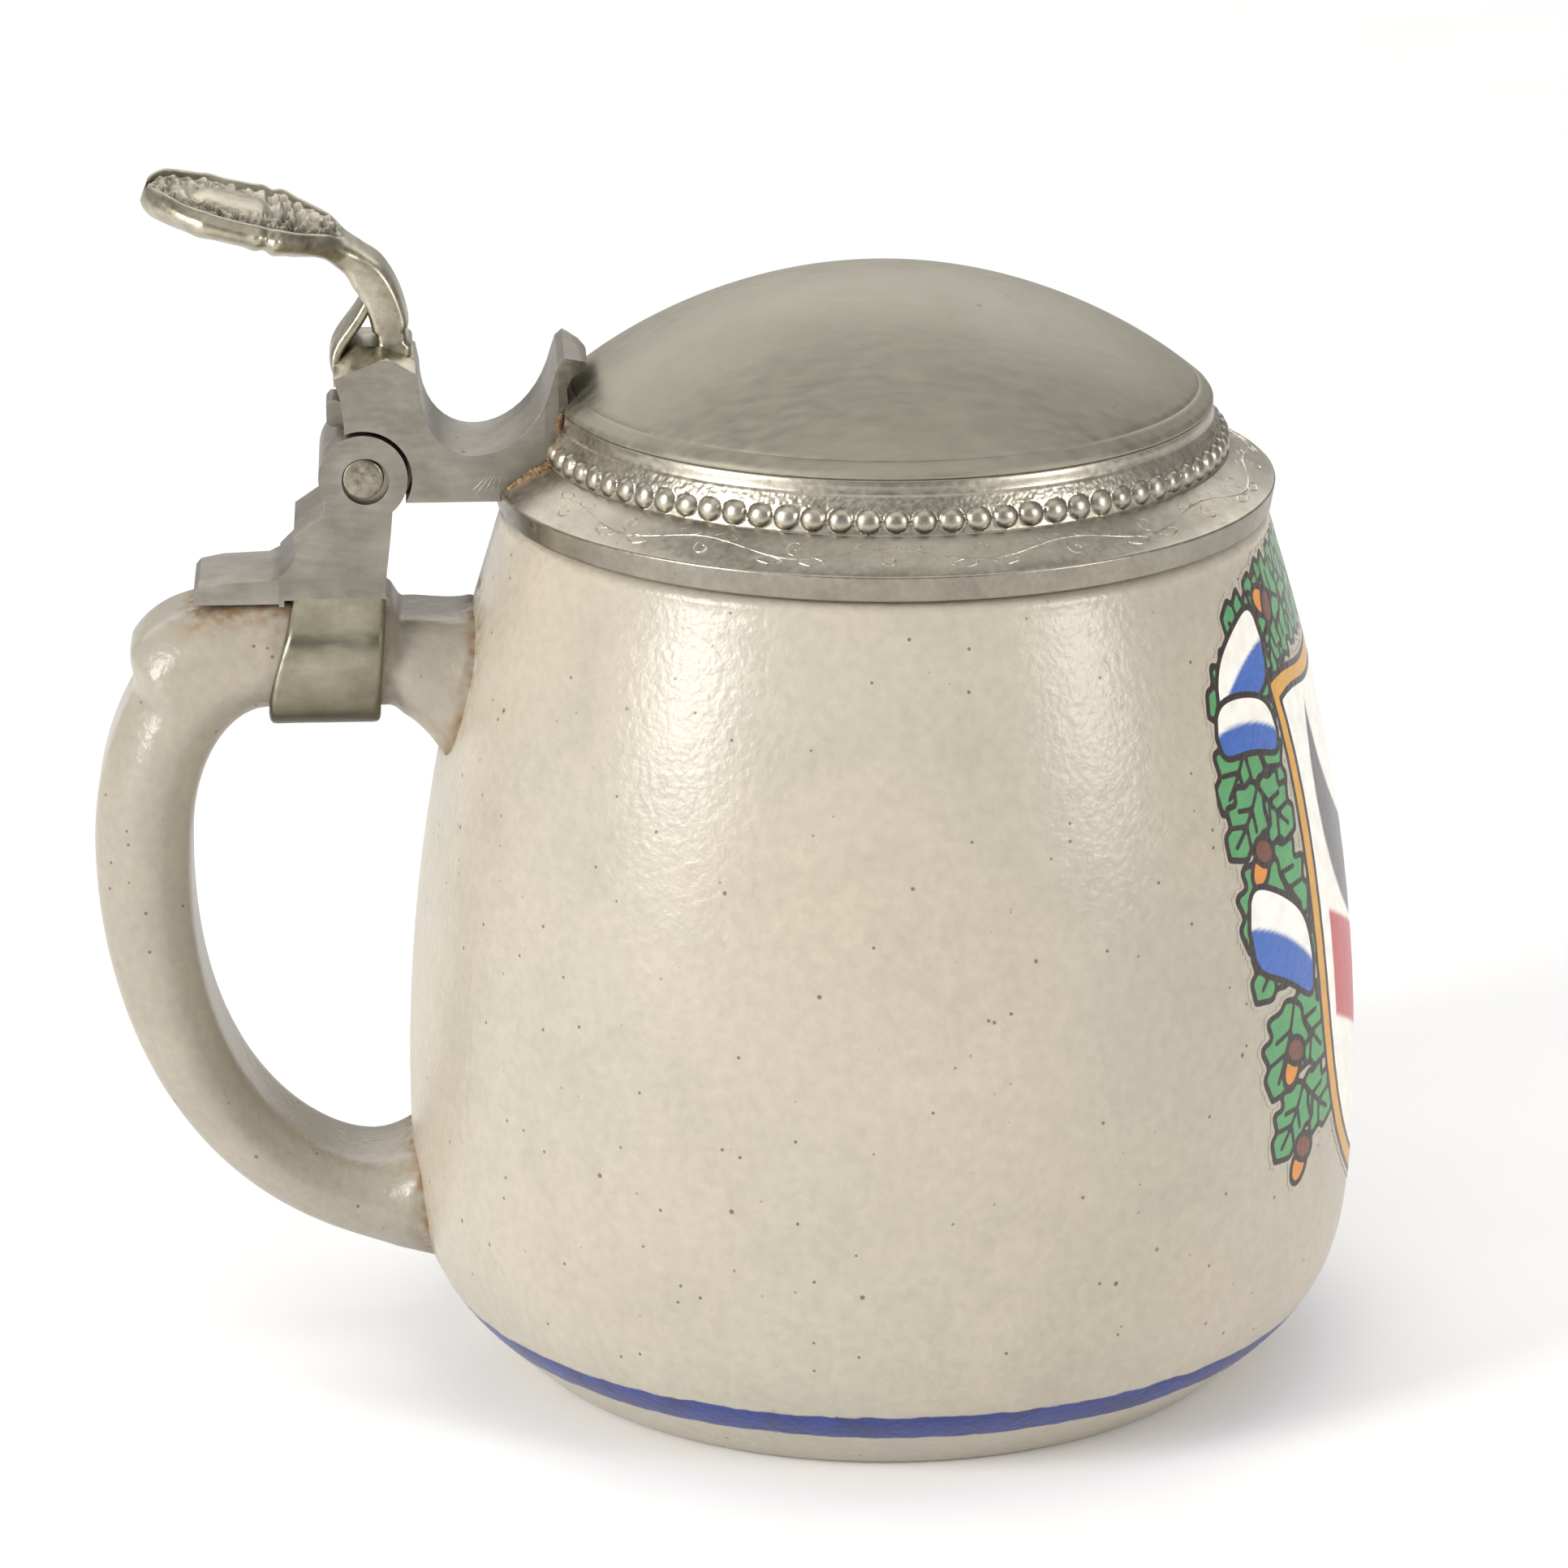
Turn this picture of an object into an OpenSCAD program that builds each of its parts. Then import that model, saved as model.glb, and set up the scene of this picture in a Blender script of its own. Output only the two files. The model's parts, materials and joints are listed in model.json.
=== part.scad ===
// Lidded stoneware beer mug with pewter fittings.
// Origin: centre of the flat foot.  +Z up, handle towards -X, hinge pin along Y.

/* [Mug body] */
// Largest radius of the body
belly_r = 55; // [52:0.5:66]
// Height of the widest place above the foot
belly_z = 32; // [26:0.5:40]
// Radius of the flat foot
foot_r = 42; // [36:0.5:46]
// Outer radius of the body just under the lip
mouth_r = 43.7; // [38:0.1:52]
// Height of the body from foot to lip
body_h = 100.8; // [84:0.2:122]
// Thickness of the stoneware wall
wall = 5.5; // [4.4:0.1:7]
// Thickness of the floor
floor_t = 7; // [5:0.5:10]
// Radius that rounds both edges of the lip
lip_round = 1.6; // [0.8:0.1:2]

/* [Handle] */
// Half of the handle's width
grip_half_w = 9.6; // [8:0.1:11.6]
// Thickness of the handle at the collar, inner side to outer side
grip_t = 12.4; // [10:0.1:14.6]
// How much the handle thins on its inner side towards the lower joint
inner_taper = 2.8; // [0:0.1:3.2]
// How much the handle thins on its outer side below the thumb rest
outer_taper = 1.2; // [0:0.1:1.6]
// How far the handle's top drops between the collar and the body
neck_dip = 2.2; // [0:0.1:3]
// Clear space for the fingers between the belly and the handle
finger_gap = 24.1; // [20:0.5:32]
// Depth of the handle's middle line under the lip, at the collar
grip_drop = 16; // [13:0.1:20]
// Height of the handle's middle line where it leaves its lower joint
root_z = 18.5; // [16:0.5:26]
// Extra thickness where the handle spreads onto the body
root_flare = 5; // [0:0.5:7]
// Height of the thumb rest on the handle's outer corner
rest_rise = 2.8; // [0:0.1:3.4]

/* [Collar] */
// Length of the pewter strap along the handle
collar_l = 11.4; // [8:0.2:14]
// Thickness of the strap at the sides and below
collar_t = 1.2; // [0.8:0.1:2]
// Thickness of the strap's top, under the hinge
collar_top_t = 2.3; // [1.6:0.1:4]

/* [Hinge] */
// Distance of the hinge pin outside the edge of the lid
hinge_reach = 14.6; // [13:0.1:18]
// Height of the hinge pin above the underside of the lid
hinge_rise = 4.7; // [4:0.1:6]
// Width of the whole hinge along the pin
hinge_w = 15; // [12:0.1:18]
// Outer radius of the hinge rings
ring_r = 5; // [4.5:0.1:5.2]
// Thickness of each of the two outer rings
ring_t = 3.8; // [3:0.1:4.4]
// Radius of the steel pin
pin_r = 1.6; // [1:0.1:2]
// Radius of the pewter plugs that close the pin's bore
plug_r = 2.3; // [2.1:0.1:3]
// Length of each plug
plug_l = 1.8; // [1:0.1:2.4]
// Width of the tang that lies on the handle
tang_w = 12.7; // [8:0.1:15]
// Length of the tang beyond the collar
tang_l = 10.2; // [6:0.1:11]

/* [Lid] */
// How far the lid's edge stands outside the body's mouth
rim_overhang = 0.6; // [0.2:0.1:1.6]
// Height of the lid's outer edge
rim_h = 3; // [2:0.1:4]
// Width of the flat sloping flange
flange_w = 5.6; // [4:0.1:8]
// Height that the flange gains towards its inner edge
flange_rise = 3; // [1:0.1:4]
// Height of the beaded wall between flange and dome
wall_rise = 5.5; // [4:0.1:7]
// How far the beaded wall leans in
wall_lean = 1.6; // [1:0.1:2.4]
// Height of the domed panel
dome_h = 13.6; // [8:0.5:20]
// Thickness of the domed panel
dome_t = 1.8; // [1.2:0.1:2.4]
// Height of the domed panel's upright edge
dome_edge_h = 0.7; // [0.3:0.1:1.2]
// Depth of the locating ring below the lid's underside
plug_depth = 3; // [2:0.1:4]
// Thickness of the locating ring
plug_t = 1.5; // [1:0.1:2.4]

/* [Thumblift] */
// Half of the leaf's greatest width
leaf_half_w = 11.8; // [8:0.1:13]
// Thickness of the leaf
leaf_t = 3; // [2:0.1:3.6]
// Half of the leg's width
leg_half_w = 4.6; // [3:0.1:6]
// Thickness of the leg
leg_t = 3.6; // [2.6:0.1:4.2]

/* [Clearances] */
// Gap between the lid's underside and the lip
lid_gap = 0.3; // [0.2:0.05:0.5]
// Radial clearance of the middle ring on the pin
running_fit = 0.06; // [0.03:0.01:0.1]
// Radial clearance of pieces that are pressed or cast in place
fixed_fit = 0.03; // [0.01:0.01:0.05]
// Gap around the rings where the arm turns past them
swing_gap = 0.5; // [0.3:0.05:0.7]
// Gap beside the middle ring
side_gap = 0.3; // [0.2:0.05:0.5]
// Solder gap under the tang
tang_gap = 0.1; // [0.05:0.05:0.2]

/* [Hidden] */

ROUND_FN = 96;
SWEEP_SIDES = 28;

stoneware = "#cbbfae";
pewter = "#9b988c";
pewter_green = "#a3a38f";
pewter_light = "#b5b2a6";
steel = "#7f8488";

// Heights and radii of the lid
lid_z = body_h + lid_gap;
rim_r = mouth_r + rim_overhang;
rim_top_z = lid_z + rim_h;
flange_z = rim_top_z + flange_rise;
flange_in_r = rim_r - flange_w;
seat_r = flange_in_r - wall_lean;
seat_z = flange_z + wall_rise;
dome_edge_z = seat_z + dome_edge_h;
dome_sphere_r = (seat_r * seat_r + dome_h * dome_h) / (2 * dome_h);
dome_centre_z = dome_edge_z + dome_h - dome_sphere_r;
rim_taper = 0.4;
rim_edge = 0.3;
rim_bore_r = seat_r - 0.7;
rim_seat_w = 1.9;

// Place of the hinge pin
hinge_x = -(rim_r + hinge_reach);
hinge_z = lid_z + hinge_rise;
knuckle_half_w = hinge_w / 2 - ring_t - side_gap;
pocket_r = ring_r + swing_gap;
slot_r = ring_r + side_gap;

// Handle and collar
collar_ahead = 2.3;
bend_start = 2;
bend_reach = 14.9;
grip_z = body_h - grip_drop;
grip_top_z = grip_z + grip_t / 2;
collar_x1 = hinge_x + collar_ahead;
collar_x0 = collar_x1 - collar_l;
collar_side = grip_half_w + collar_t;
collar_below = grip_t / 2 + collar_t;
collar_above = grip_t / 2 + collar_top_t;
collar_top_z = grip_z + collar_above;
bend_x = collar_x0 - bend_start;
grip_back_x = min(bend_x - bend_reach, -(belly_r + finger_gap + grip_t / 2));

// ---- helpers ----

function bez2(a, b, c, t) = a * pow(1 - t, 2) + 2 * b * t * (1 - t) + c * t * t;

function bez3(a, b, c, d, t) =
    a * pow(1 - t, 3) + 3 * b * t * pow(1 - t, 2) + 3 * c * t * t * (1 - t) + d * pow(t, 3);

function curve2(a, b, c, n, first = 0) = [for (i = [first:n]) bez2(a, b, c, i / n)];

function curve3(a, b, c, d, n, first = 0) = [for (i = [first:n]) bez3(a, b, c, d, i / n)];

function arc(centre, r, from, to, n, first = 0) =
    [for (i = [first:n]) let (q = from + (to - from) * i / n) centre + r * [cos(q), sin(q)]];

function backwards(list) = [for (i = [len(list) - 1:-1:0]) list[i]];

function moved(list, by) = [for (p = list) p + by];

function from_hinge(p) = [hinge_x, hinge_z] + p;

function from_dome_edge(p) = [-seat_r, dome_edge_z] + p;

// A value that runs smoothly from 0 to 1 while x runs from a to b
function ease(x, a, b) = let (t = min(1, max(0, (x - a) / (b - a)))) t * t * (3 - 2 * t);

function signed_pow(x, p) = sign(x) * pow(abs(x), p);

// Cross-section of the handle: width to each side, depth below and height above
// the middle line, and how square its lower and upper corners are
square_below = 3.6;
square_above = 2.6;

function grip_section(half_w, below, above, sides) =
    [for (j = [0:sides - 1])
        let (q = 360 * j / sides, square = sin(q) < 0 ? square_below : square_above)
        [half_w * signed_pow(cos(q), 2 / square),
         (sin(q) < 0 ? below : above) * signed_pow(sin(q), 2 / square)]];

// A flat outline in X and Z, given a width along Y
module upright(points, width) {
    rotate([90, 0, 0])
        linear_extrude(height = width, center = true)
            polygon(points);
}

// A round bar along Y between y0 and y1, centred on a point in X and Z
module bar_y(at, r, y0, y1) {
    translate([at[0], y1, at[1]])
        rotate([90, 0, 0])
            cylinder(r = r, h = y1 - y0, $fn = ROUND_FN);
}

// Closed skin through rings of points, one ring after another
module skin(rings) {
    m = len(rings[0]);
    n = len(rings);
    walls = [for (i = [0:n - 2], j = [0:m - 1])
        each [[i * m + j, i * m + (j + 1) % m, (i + 1) * m + (j + 1) % m],
              [i * m + j, (i + 1) * m + (j + 1) % m, (i + 1) * m + j]]];
    first_cap = [[for (j = [m - 1:-1:0]) j]];
    last_cap = [[for (j = [0:m - 1]) (n - 1) * m + j]];
    polyhedron(points = [for (ring = rings) each ring],
               faces = concat(walls, first_cap, last_cap), convexity = 6);
}

// ---- stoneware ----

heel_out = 11;
heel_up = 10;
floor_fillet = 3;
floor_inset = 8;
lip_z = body_h - lip_round;

outer_heel = curve3([foot_r, 0], [foot_r + heel_out, heel_up],
                    [belly_r, heel_up], [belly_r, belly_z], 12);
outer_side = curve2([belly_r, belly_z], [belly_r, (belly_z + lip_z) / 2],
                    [mouth_r, lip_z], 16, 1);
outer_lip = arc([mouth_r - lip_round, lip_z], lip_round, 0, 90, 4, 1);
inner_lip = arc([mouth_r - wall + lip_round, lip_z], lip_round, 90, 180, 4);
inner_side = moved(backwards(curve2([belly_r, belly_z], [belly_r, (belly_z + lip_z) / 2],
                                    [mouth_r, lip_z], 16)), [-wall, 0]);
inner_heel = curve3([belly_r - wall, belly_z], [belly_r - wall, floor_t + floor_fillet],
                    [foot_r + floor_fillet, floor_t], [foot_r - floor_inset, floor_t], 10, 1);

module mug_outside() {
    rotate_extrude($fn = ROUND_FN)
        polygon(concat([[0, 0]], outer_heel, outer_side, [[0, lip_z]]));
}

module mug_body() {
    color(stoneware)
        rotate_extrude($fn = ROUND_FN)
            polygon(concat([[0, 0]], outer_heel, outer_side, outer_lip, inner_lip,
                           [for (i = [1:len(inner_side) - 1]) inner_side[i]],
                           inner_heel, [[0, floor_t]]));
}

// Middle line of the handle, from inside the upper joint to inside the lower one:
// the ends of its four curves, then the pulls that bend them
top_root = [-(mouth_r - 2), grip_z - 2];
neck_end = [collar_x1 + 0.05, grip_z];
bend = [bend_x, grip_z];
grip_out = [grip_back_x, (grip_z + root_z) / 2 + 10.1];
low_leave = [-(belly_r + 3), root_z];
low_root = [-(belly_r - 9), root_z - 3.2];

root_pull = [-7, 0];
neck_pull = [5, 0];
corner_pull = [-8.2, 0];
back_pull_up = [0, 14];
back_pull_down = [0, -16];
low_pull = [-21, 5.5];

grip_line = concat(
    curve3(top_root, top_root + root_pull, neck_end + neck_pull, neck_end, 10),
    [bend],
    curve3(bend, bend + corner_pull, grip_out + back_pull_up, grip_out, 18, 1),
    curve3(grip_out, grip_out + back_pull_down, low_leave + low_pull, low_leave, 24, 1),
    curve2(low_leave, (low_leave + low_root) / 2, low_root, 6, 1));

// Places along the middle line, counted in its rings
neck_rings = [10, 9];
rest_rings = [12, 18];
step_rings = [18.6, 20.4];
outer_taper_rings = [12, 22];
inner_taper_rings = [26, 50];

function along(i, rings) = ease(i, rings[0], rings[1]);

function line_direction(line, i) =
    let (a = line[max(0, i - 1)], b = line[min(len(line) - 1, i + 1)])
    (b - a) / norm(b - a);

// The flare grows towards the body's wall at each joint, and stops short of the collar
flare_fade = 3.4;
flare_full = [mouth_r + 4.5, belly_r + 0.5];
flare_above = [0.3, 0.1];
flare_aside = 0.2;
flare_to_collar = 3;

function joint_at(p) = p[1] > (grip_z + root_z) / 2 ? 0 : 1;

function joint_flare(p) =
    let (joint = joint_at(p),
         away = max(0, -p[0] - flare_full[joint]),
         clear = joint == 0 ? ease(p[0], collar_x1, collar_x1 + flare_to_collar) : 1)
    root_flare * clear * exp(-away / flare_fade);

// Distance from the middle line out to the handle's inner side, at ring i
function grip_below(i) = grip_t / 2 - inner_taper * along(i, inner_taper_rings);

// Distance out to the outer side: the neck dips beside the collar, the thumb
// rest rises on the corner and ends in a short step, then the grip thins
function grip_above(i) =
    grip_t / 2 - neck_dip * along(i, neck_rings)
    + rest_rise * along(i, rest_rings) * (1 - along(i, step_rings))
    - outer_taper * along(i, outer_taper_rings);

module handle() {
    rings = [for (i = [0:len(grip_line) - 1])
        let (p = grip_line[i],
             d = line_direction(grip_line, i),
             up = [d[1], -d[0]],
             flare = joint_flare(p),
             half_w = grip_half_w + flare_aside * flare,
             below = grip_below(i) + flare,
             above = grip_above(i) + flare_above[joint_at(p)] * flare)
        [for (s = grip_section(half_w, below, above, SWEEP_SIDES))
            [p[0] + up[0] * s[1], s[0], p[1] + up[1] * s[1]]]];
    color(stoneware)
        difference() {
            skin(rings);
            mug_outside();
        }
}

// ---- pewter collar and shank ----

// A straight bar along X with the handle's kind of section
module section_bar(x0, x1, half_w, below, above) {
    translate([x0, 0, grip_z])
        rotate([90, 0, 90])
            linear_extrude(height = x1 - x0)
                polygon(grip_section(half_w, below, above, SWEEP_SIDES));
}

module collar_outside() {
    section_bar(collar_x0, collar_x1, collar_side, collar_below, collar_above);
}

module handle_collar() {
    color(pewter_green)
        difference() {
            collar_outside();
            section_bar(collar_x0 - 1, collar_x1 + 1, grip_half_w + fixed_fit,
                        grip_t / 2 + fixed_fit, grip_t / 2 + fixed_fit);
        }
}

// The block under the rings, seen from the front
shoulder = [-7.9, -6.6];
shoulder_top = [-4.6, -4.35];
block_floor = grip_top_z + tang_gap - hinge_z;
block_back = collar_x0 - hinge_x - 0.6;
saddle_rise = 1.1;
block_points = [[3.3, -3.0], [3.0, -6.4], [collar_x1 - hinge_x, -12.4],
                [collar_x1 - hinge_x, block_floor], [block_back, block_floor],
                [block_back, collar_top_z - hinge_z + saddle_rise],
                [-7.8, -9.5], [-7.6, -8.5], shoulder, shoulder_top, [-4.2, -2.4]];

// The tang, from where it starts inside the block to its bevelled end
tang_start = collar_x0 - hinge_x + 3;
tang_top = collar_top_z - hinge_z + 0.3;
tang_end = collar_x0 - hinge_x - tang_l;
tang_points = [[tang_start, tang_top + 2.4], [-7.8, -9.7], [-9.3, tang_top + 1.0],
               [-10.9, tang_top + 0.2], [tang_end + 3.2, tang_top], [tang_end + 0.6, tang_top - 0.5],
               [tang_end, tang_top - 1.2], [tang_end, block_floor], [tang_start, block_floor]];

// The worn recess round the front plug lies a little off the pin's centre
worn_shift = [0.28, -0.3];
worn_r = plug_r + 0.35;
worn_depth = 1;
plug_inset = 0.1;

module shank() {
    hinge = [hinge_x, hinge_z];
    ring_in = hinge_w / 2 - ring_t;
    color(pewter)
        difference() {
            union() {
                upright([for (p = block_points) from_hinge(p)], hinge_w);
                upright([for (p = tang_points) from_hinge(p)], tang_w);
                bar_y(hinge, ring_r, -hinge_w / 2, -ring_in);
                bar_y(hinge, ring_r, ring_in, hinge_w / 2);
            }
            collar_outside();
            bar_y(hinge, slot_r, -ring_in, ring_in);
            bar_y(hinge, pin_r + fixed_fit, -hinge_w, hinge_w);
            bar_y(hinge, plug_r + fixed_fit, -hinge_w, plug_l - hinge_w / 2);
            bar_y(hinge, plug_r + fixed_fit, hinge_w / 2 - plug_l, hinge_w);
            bar_y(hinge + worn_shift, worn_r, -hinge_w, worn_depth - hinge_w / 2);
        }
}

module hinge_pin() {
    color(steel)
        bar_y([hinge_x, hinge_z], pin_r, plug_l - hinge_w / 2 + fixed_fit,
              hinge_w / 2 - plug_l - fixed_fit);
}

module pin_plug(side) {
    end = side * (hinge_w / 2 - plug_inset);
    inner = side * (hinge_w / 2 - plug_l);
    color(pewter_light)
        bar_y([hinge_x, hinge_z], plug_r, min(end, inner), max(end, inner));
}

module pin_plug_front() { pin_plug(-1); }

module pin_plug_rear() { pin_plug(1); }

// ---- pewter lid ----

rim_foot_r = rim_r - rim_taper;
cove_bend = [flange_in_r - wall_lean + 0.2, flange_z + 1.2];
bore_top_z = flange_z - 1.5;

rim_profile = concat(
    [[rim_bore_r, lid_z], [rim_foot_r - rim_edge, lid_z], [rim_foot_r, lid_z + rim_edge],
     [rim_r, rim_top_z - rim_edge], [rim_r - rim_edge, rim_top_z]],
    curve2([flange_in_r, flange_z], cove_bend, [seat_r, seat_z], 8),
    [[seat_r - rim_seat_w, seat_z], [rim_bore_r, bore_top_z]]);

dome_arc_end = asin(seat_r / dome_sphere_r);
dome_inner_r = dome_sphere_r - dome_t;
dome_inner_end = acos((seat_z - dome_centre_z) / dome_inner_r);

module lid_outside() {
    rotate_extrude($fn = ROUND_FN)
        polygon(concat([[0, lid_z], [rim_bore_r, lid_z]],
                       [for (i = [1:len(rim_profile) - 3]) rim_profile[i]],
                       [[seat_r, dome_edge_z]],
                       arc([0, dome_centre_z], dome_sphere_r, 90 - dome_arc_end, 90, 24, 1)));
}

module lid_rim() {
    color(pewter_light)
        rotate_extrude($fn = ROUND_FN)
            polygon(rim_profile);
}

module lid_dome() {
    color(pewter)
        rotate_extrude($fn = ROUND_FN)
            polygon(concat([[seat_r, seat_z], [seat_r, dome_edge_z]],
                           arc([0, dome_centre_z], dome_sphere_r, 90 - dome_arc_end, 90, 24, 1),
                           arc([0, dome_centre_z], dome_inner_r, 90, 90 - dome_inner_end, 24)));
}

module lid_locating_ring() {
    ring_height = plug_depth + rim_h;
    color(pewter_light)
        translate([0, 0, lid_z - plug_depth])
            difference() {
                cylinder(r = rim_bore_r - fixed_fit, h = ring_height, $fn = ROUND_FN);
                translate([0, 0, -1])
                    cylinder(r = rim_bore_r - plug_t, h = ring_height + 2, $fn = ROUND_FN);
            }
}

// Outline of the arm: gabled house over the pin, valley, then the crest on the dome's edge
gable_left = [-3.1, 11.5];
gable_peak = [2.9, 13.9];
gable_right = [6.1, 12.0];
valley_start = [6.5, 10.1];
arm_under = -2.8;
house_points = [from_hinge([-2.0, 3.6]), from_hinge([-2.0, 6.6]), from_hinge([-2.4, 9.4]),
                from_hinge(gable_left), from_hinge(gable_peak), from_hinge(gable_right),
                from_hinge(valley_start)];
valley = curve3(from_hinge(valley_start), from_hinge([6.6, -0.6]),
                from_dome_edge([-3.0, -7.3]), from_dome_edge([-0.4, 3.7]), 20, 1);
crest = [from_dome_edge([0.1, 5.2]), from_dome_edge([0.9, 6.0]), from_dome_edge([2.7, 5.2]),
         from_dome_edge([3.5, 4.6]), from_dome_edge([2.8, 4.0]), from_dome_edge([1.6, 3.4]),
         from_dome_edge([1.1, 2.4]), from_dome_edge([1.3, -0.6])];
arm_points = concat(house_points, valley, crest,
                    [from_dome_edge([1.3, -5]), [-(rim_r - 4), hinge_z + arm_under],
                     from_hinge([4.2, arm_under]), from_hinge([2, 0])]);
lug_points = [for (p = [[-4.0, 5.2], [-4.0, 7.3], [-3.5, 7.9], [-2.9, 7.9], [-1.5, 7.2],
                         [-1.5, 4.7], [-3.4, 4.8]]) from_hinge(p)];
lug_w = 5;
crest_round = 5;
crest_inside = 3.6;
plan_back = 9;

// The arm from above: parallel sides with rounded corners at the crest
module arm_plan() {
    tip_x = -(seat_r - crest_inside);
    back_x = hinge_x - plan_back;
    half = hinge_w / 2;
    linear_extrude(height = dome_edge_z + dome_h)
        polygon(concat([[back_x, half], [back_x, -half]],
                       arc([tip_x - crest_round, crest_round - half], crest_round, -90, 0, 5),
                       arc([tip_x - crest_round, half - crest_round], crest_round, 0, 90, 5)));
}

module lid_arm() {
    hinge = [hinge_x, hinge_z];
    color(pewter)
        difference() {
            union() {
                intersection() {
                    upright(arm_points, hinge_w);
                    arm_plan();
                }
                bar_y(hinge, ring_r, -knuckle_half_w, knuckle_half_w);
                upright(lug_points, lug_w);
            }
            bar_y(hinge, pocket_r, -hinge_w, -knuckle_half_w);
            bar_y(hinge, pocket_r, knuckle_half_w, hinge_w);
            bar_y(hinge, pin_r + running_fit, -hinge_w, hinge_w);
            lid_outside();
        }
}

// ---- thumblift ----

leg_foot = from_hinge([3.6, 10.6]);
leg_top = from_hinge([-1.6, 24.4]);
leaf_tip = from_hinge([-23.4, 32.2]);
leg_steps = 12;
leaf_steps = 24;
leg_line = curve3(leg_foot, from_hinge([3.9, 17.2]), from_hinge([2.4, 21.7]), leg_top, leg_steps);
leaf_line = curve3(leg_top, from_hinge([-6.6, 28.7]), from_hinge([-14.1, 28.2]), leaf_tip,
                   leaf_steps, 1);
lift_line = concat(leg_line, leaf_line);

// Places along the lift, counted in its rings
thinning_rings = [8, 16];
narrow_rings = [32, 36];
thin_tip_rings = [34, 36];

leaf_fullness = 0.6;
leaf_skew = 0.95;
tip_narrowing = 1.6;
tip_thinning = 0.5;
lift_square = 0.7;
lift_sides = 24;

// Half width along the lift: the leg, the spreading leaf, then the rounded tip
function lift_half_w(i) =
    let (leaf = max(0, (i - leg_steps) / leaf_steps),
         belly = sin(180 * pow(leaf, leaf_skew)))
    leg_half_w + (leaf_half_w - leg_half_w) * pow(belly, leaf_fullness)
    - tip_narrowing * along(i, narrow_rings);

function lift_half_t(i) =
    leg_t / 2 + (leaf_t - leg_t) / 2 * along(i, thinning_rings)
    - tip_thinning * along(i, thin_tip_rings);

module lift_skin() {
    skin([for (i = [0:len(lift_line) - 1])
        let (p = lift_line[i],
             d = line_direction(lift_line, i),
             up = [d[1], -d[0]],
             w = lift_half_w(i),
             t = lift_half_t(i))
        [for (j = [0:lift_sides - 1])
            let (q = 360 * j / lift_sides,
                 s = [w * signed_pow(cos(q), lift_square), t * signed_pow(sin(q), lift_square)])
            [p[0] + up[0] * s[1], s[0], p[1] + up[1] * s[1]]]]);
}

// The thin rear leg, the foot on the gable, and the gap between the legs
rear_leg_points = [for (p = [[-3.1, 10.6], [-3.5, 13.4], [-3.1, 14.6], [-1.4, 16.0], [0.0, 17.8],
                             [1.2, 20.6], [3.2, 20.0], [2.0, 17.5], [-0.2, 17.2], [-0.6, 14.5],
                             [2.0, 14.5], [5.3, 13.2], [5.3, 10.6]]) from_hinge(p)];
rear_leg_w = 8;
cut_spare = 2;

module thumblift() {
    color(pewter_light)
        difference() {
            union() {
                lift_skin();
                upright(rear_leg_points, rear_leg_w);
            }
            upright(arm_points, hinge_w + cut_spare);
        }
}

mug_body();
handle();
handle_collar();
shank();
hinge_pin();
pin_plug_front();
pin_plug_rear();
lid_arm();
thumblift();
lid_rim();
lid_dome();
lid_locating_ring();
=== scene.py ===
"""Lidded stoneware beer mug with pewter fittings, built on its packed frame.

Each operator makes one piece, or one group of like pieces, as surfaces worked out with
numpy in millimetres.  The frame gives the places, and the property groups the sizes.
"""

import json
import math
from types import SimpleNamespace

import bmesh
import bpy
import numpy as np
from bpy.props import FloatProperty, FloatVectorProperty, IntProperty, PointerProperty
from bpy.types import NodeSocket, Operator, Panel, PropertyGroup
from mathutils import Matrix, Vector

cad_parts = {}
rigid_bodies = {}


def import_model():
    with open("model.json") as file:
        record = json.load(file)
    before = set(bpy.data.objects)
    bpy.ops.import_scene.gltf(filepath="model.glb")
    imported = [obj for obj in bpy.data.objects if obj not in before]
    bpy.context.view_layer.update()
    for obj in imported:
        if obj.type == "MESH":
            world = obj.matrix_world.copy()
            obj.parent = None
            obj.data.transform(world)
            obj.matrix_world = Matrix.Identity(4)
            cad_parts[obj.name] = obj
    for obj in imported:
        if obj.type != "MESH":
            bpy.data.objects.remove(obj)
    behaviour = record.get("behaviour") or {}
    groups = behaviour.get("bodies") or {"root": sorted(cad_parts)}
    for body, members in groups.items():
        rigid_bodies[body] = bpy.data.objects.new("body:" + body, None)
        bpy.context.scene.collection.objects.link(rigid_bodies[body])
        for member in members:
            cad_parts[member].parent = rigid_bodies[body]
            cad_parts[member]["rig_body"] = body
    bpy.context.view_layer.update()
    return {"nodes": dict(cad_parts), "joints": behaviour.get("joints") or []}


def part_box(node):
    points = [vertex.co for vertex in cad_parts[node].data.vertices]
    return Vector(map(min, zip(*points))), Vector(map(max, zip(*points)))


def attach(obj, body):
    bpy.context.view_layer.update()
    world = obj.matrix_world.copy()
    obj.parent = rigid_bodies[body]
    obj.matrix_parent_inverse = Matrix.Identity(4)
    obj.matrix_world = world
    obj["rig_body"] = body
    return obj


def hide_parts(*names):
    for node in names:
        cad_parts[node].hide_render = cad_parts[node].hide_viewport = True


bl_info = {
    "name": "Lidded beer mug",
    "version": (1, 0, 0),
    "blender": (4, 5, 0),
    "location": "View3D > Sidebar > Beer mug",
    "description": "Builds a salt-glazed stoneware mug with a hinged pewter lid",
    "category": "Add Mesh",
}

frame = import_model()
MM = 0.001
TURN = 2 * math.pi
HINGE = np.array(frame["joints"][0]["pos_m"]) / MM


# ---- sizes and colours that a user would change ----

def length(name, description, millimetres):
    """A length property, given in millimetres and kept in metres."""
    return FloatProperty(name=name, description=description, default=millimetres * MM, unit="LENGTH",
                         precision=5)


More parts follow.
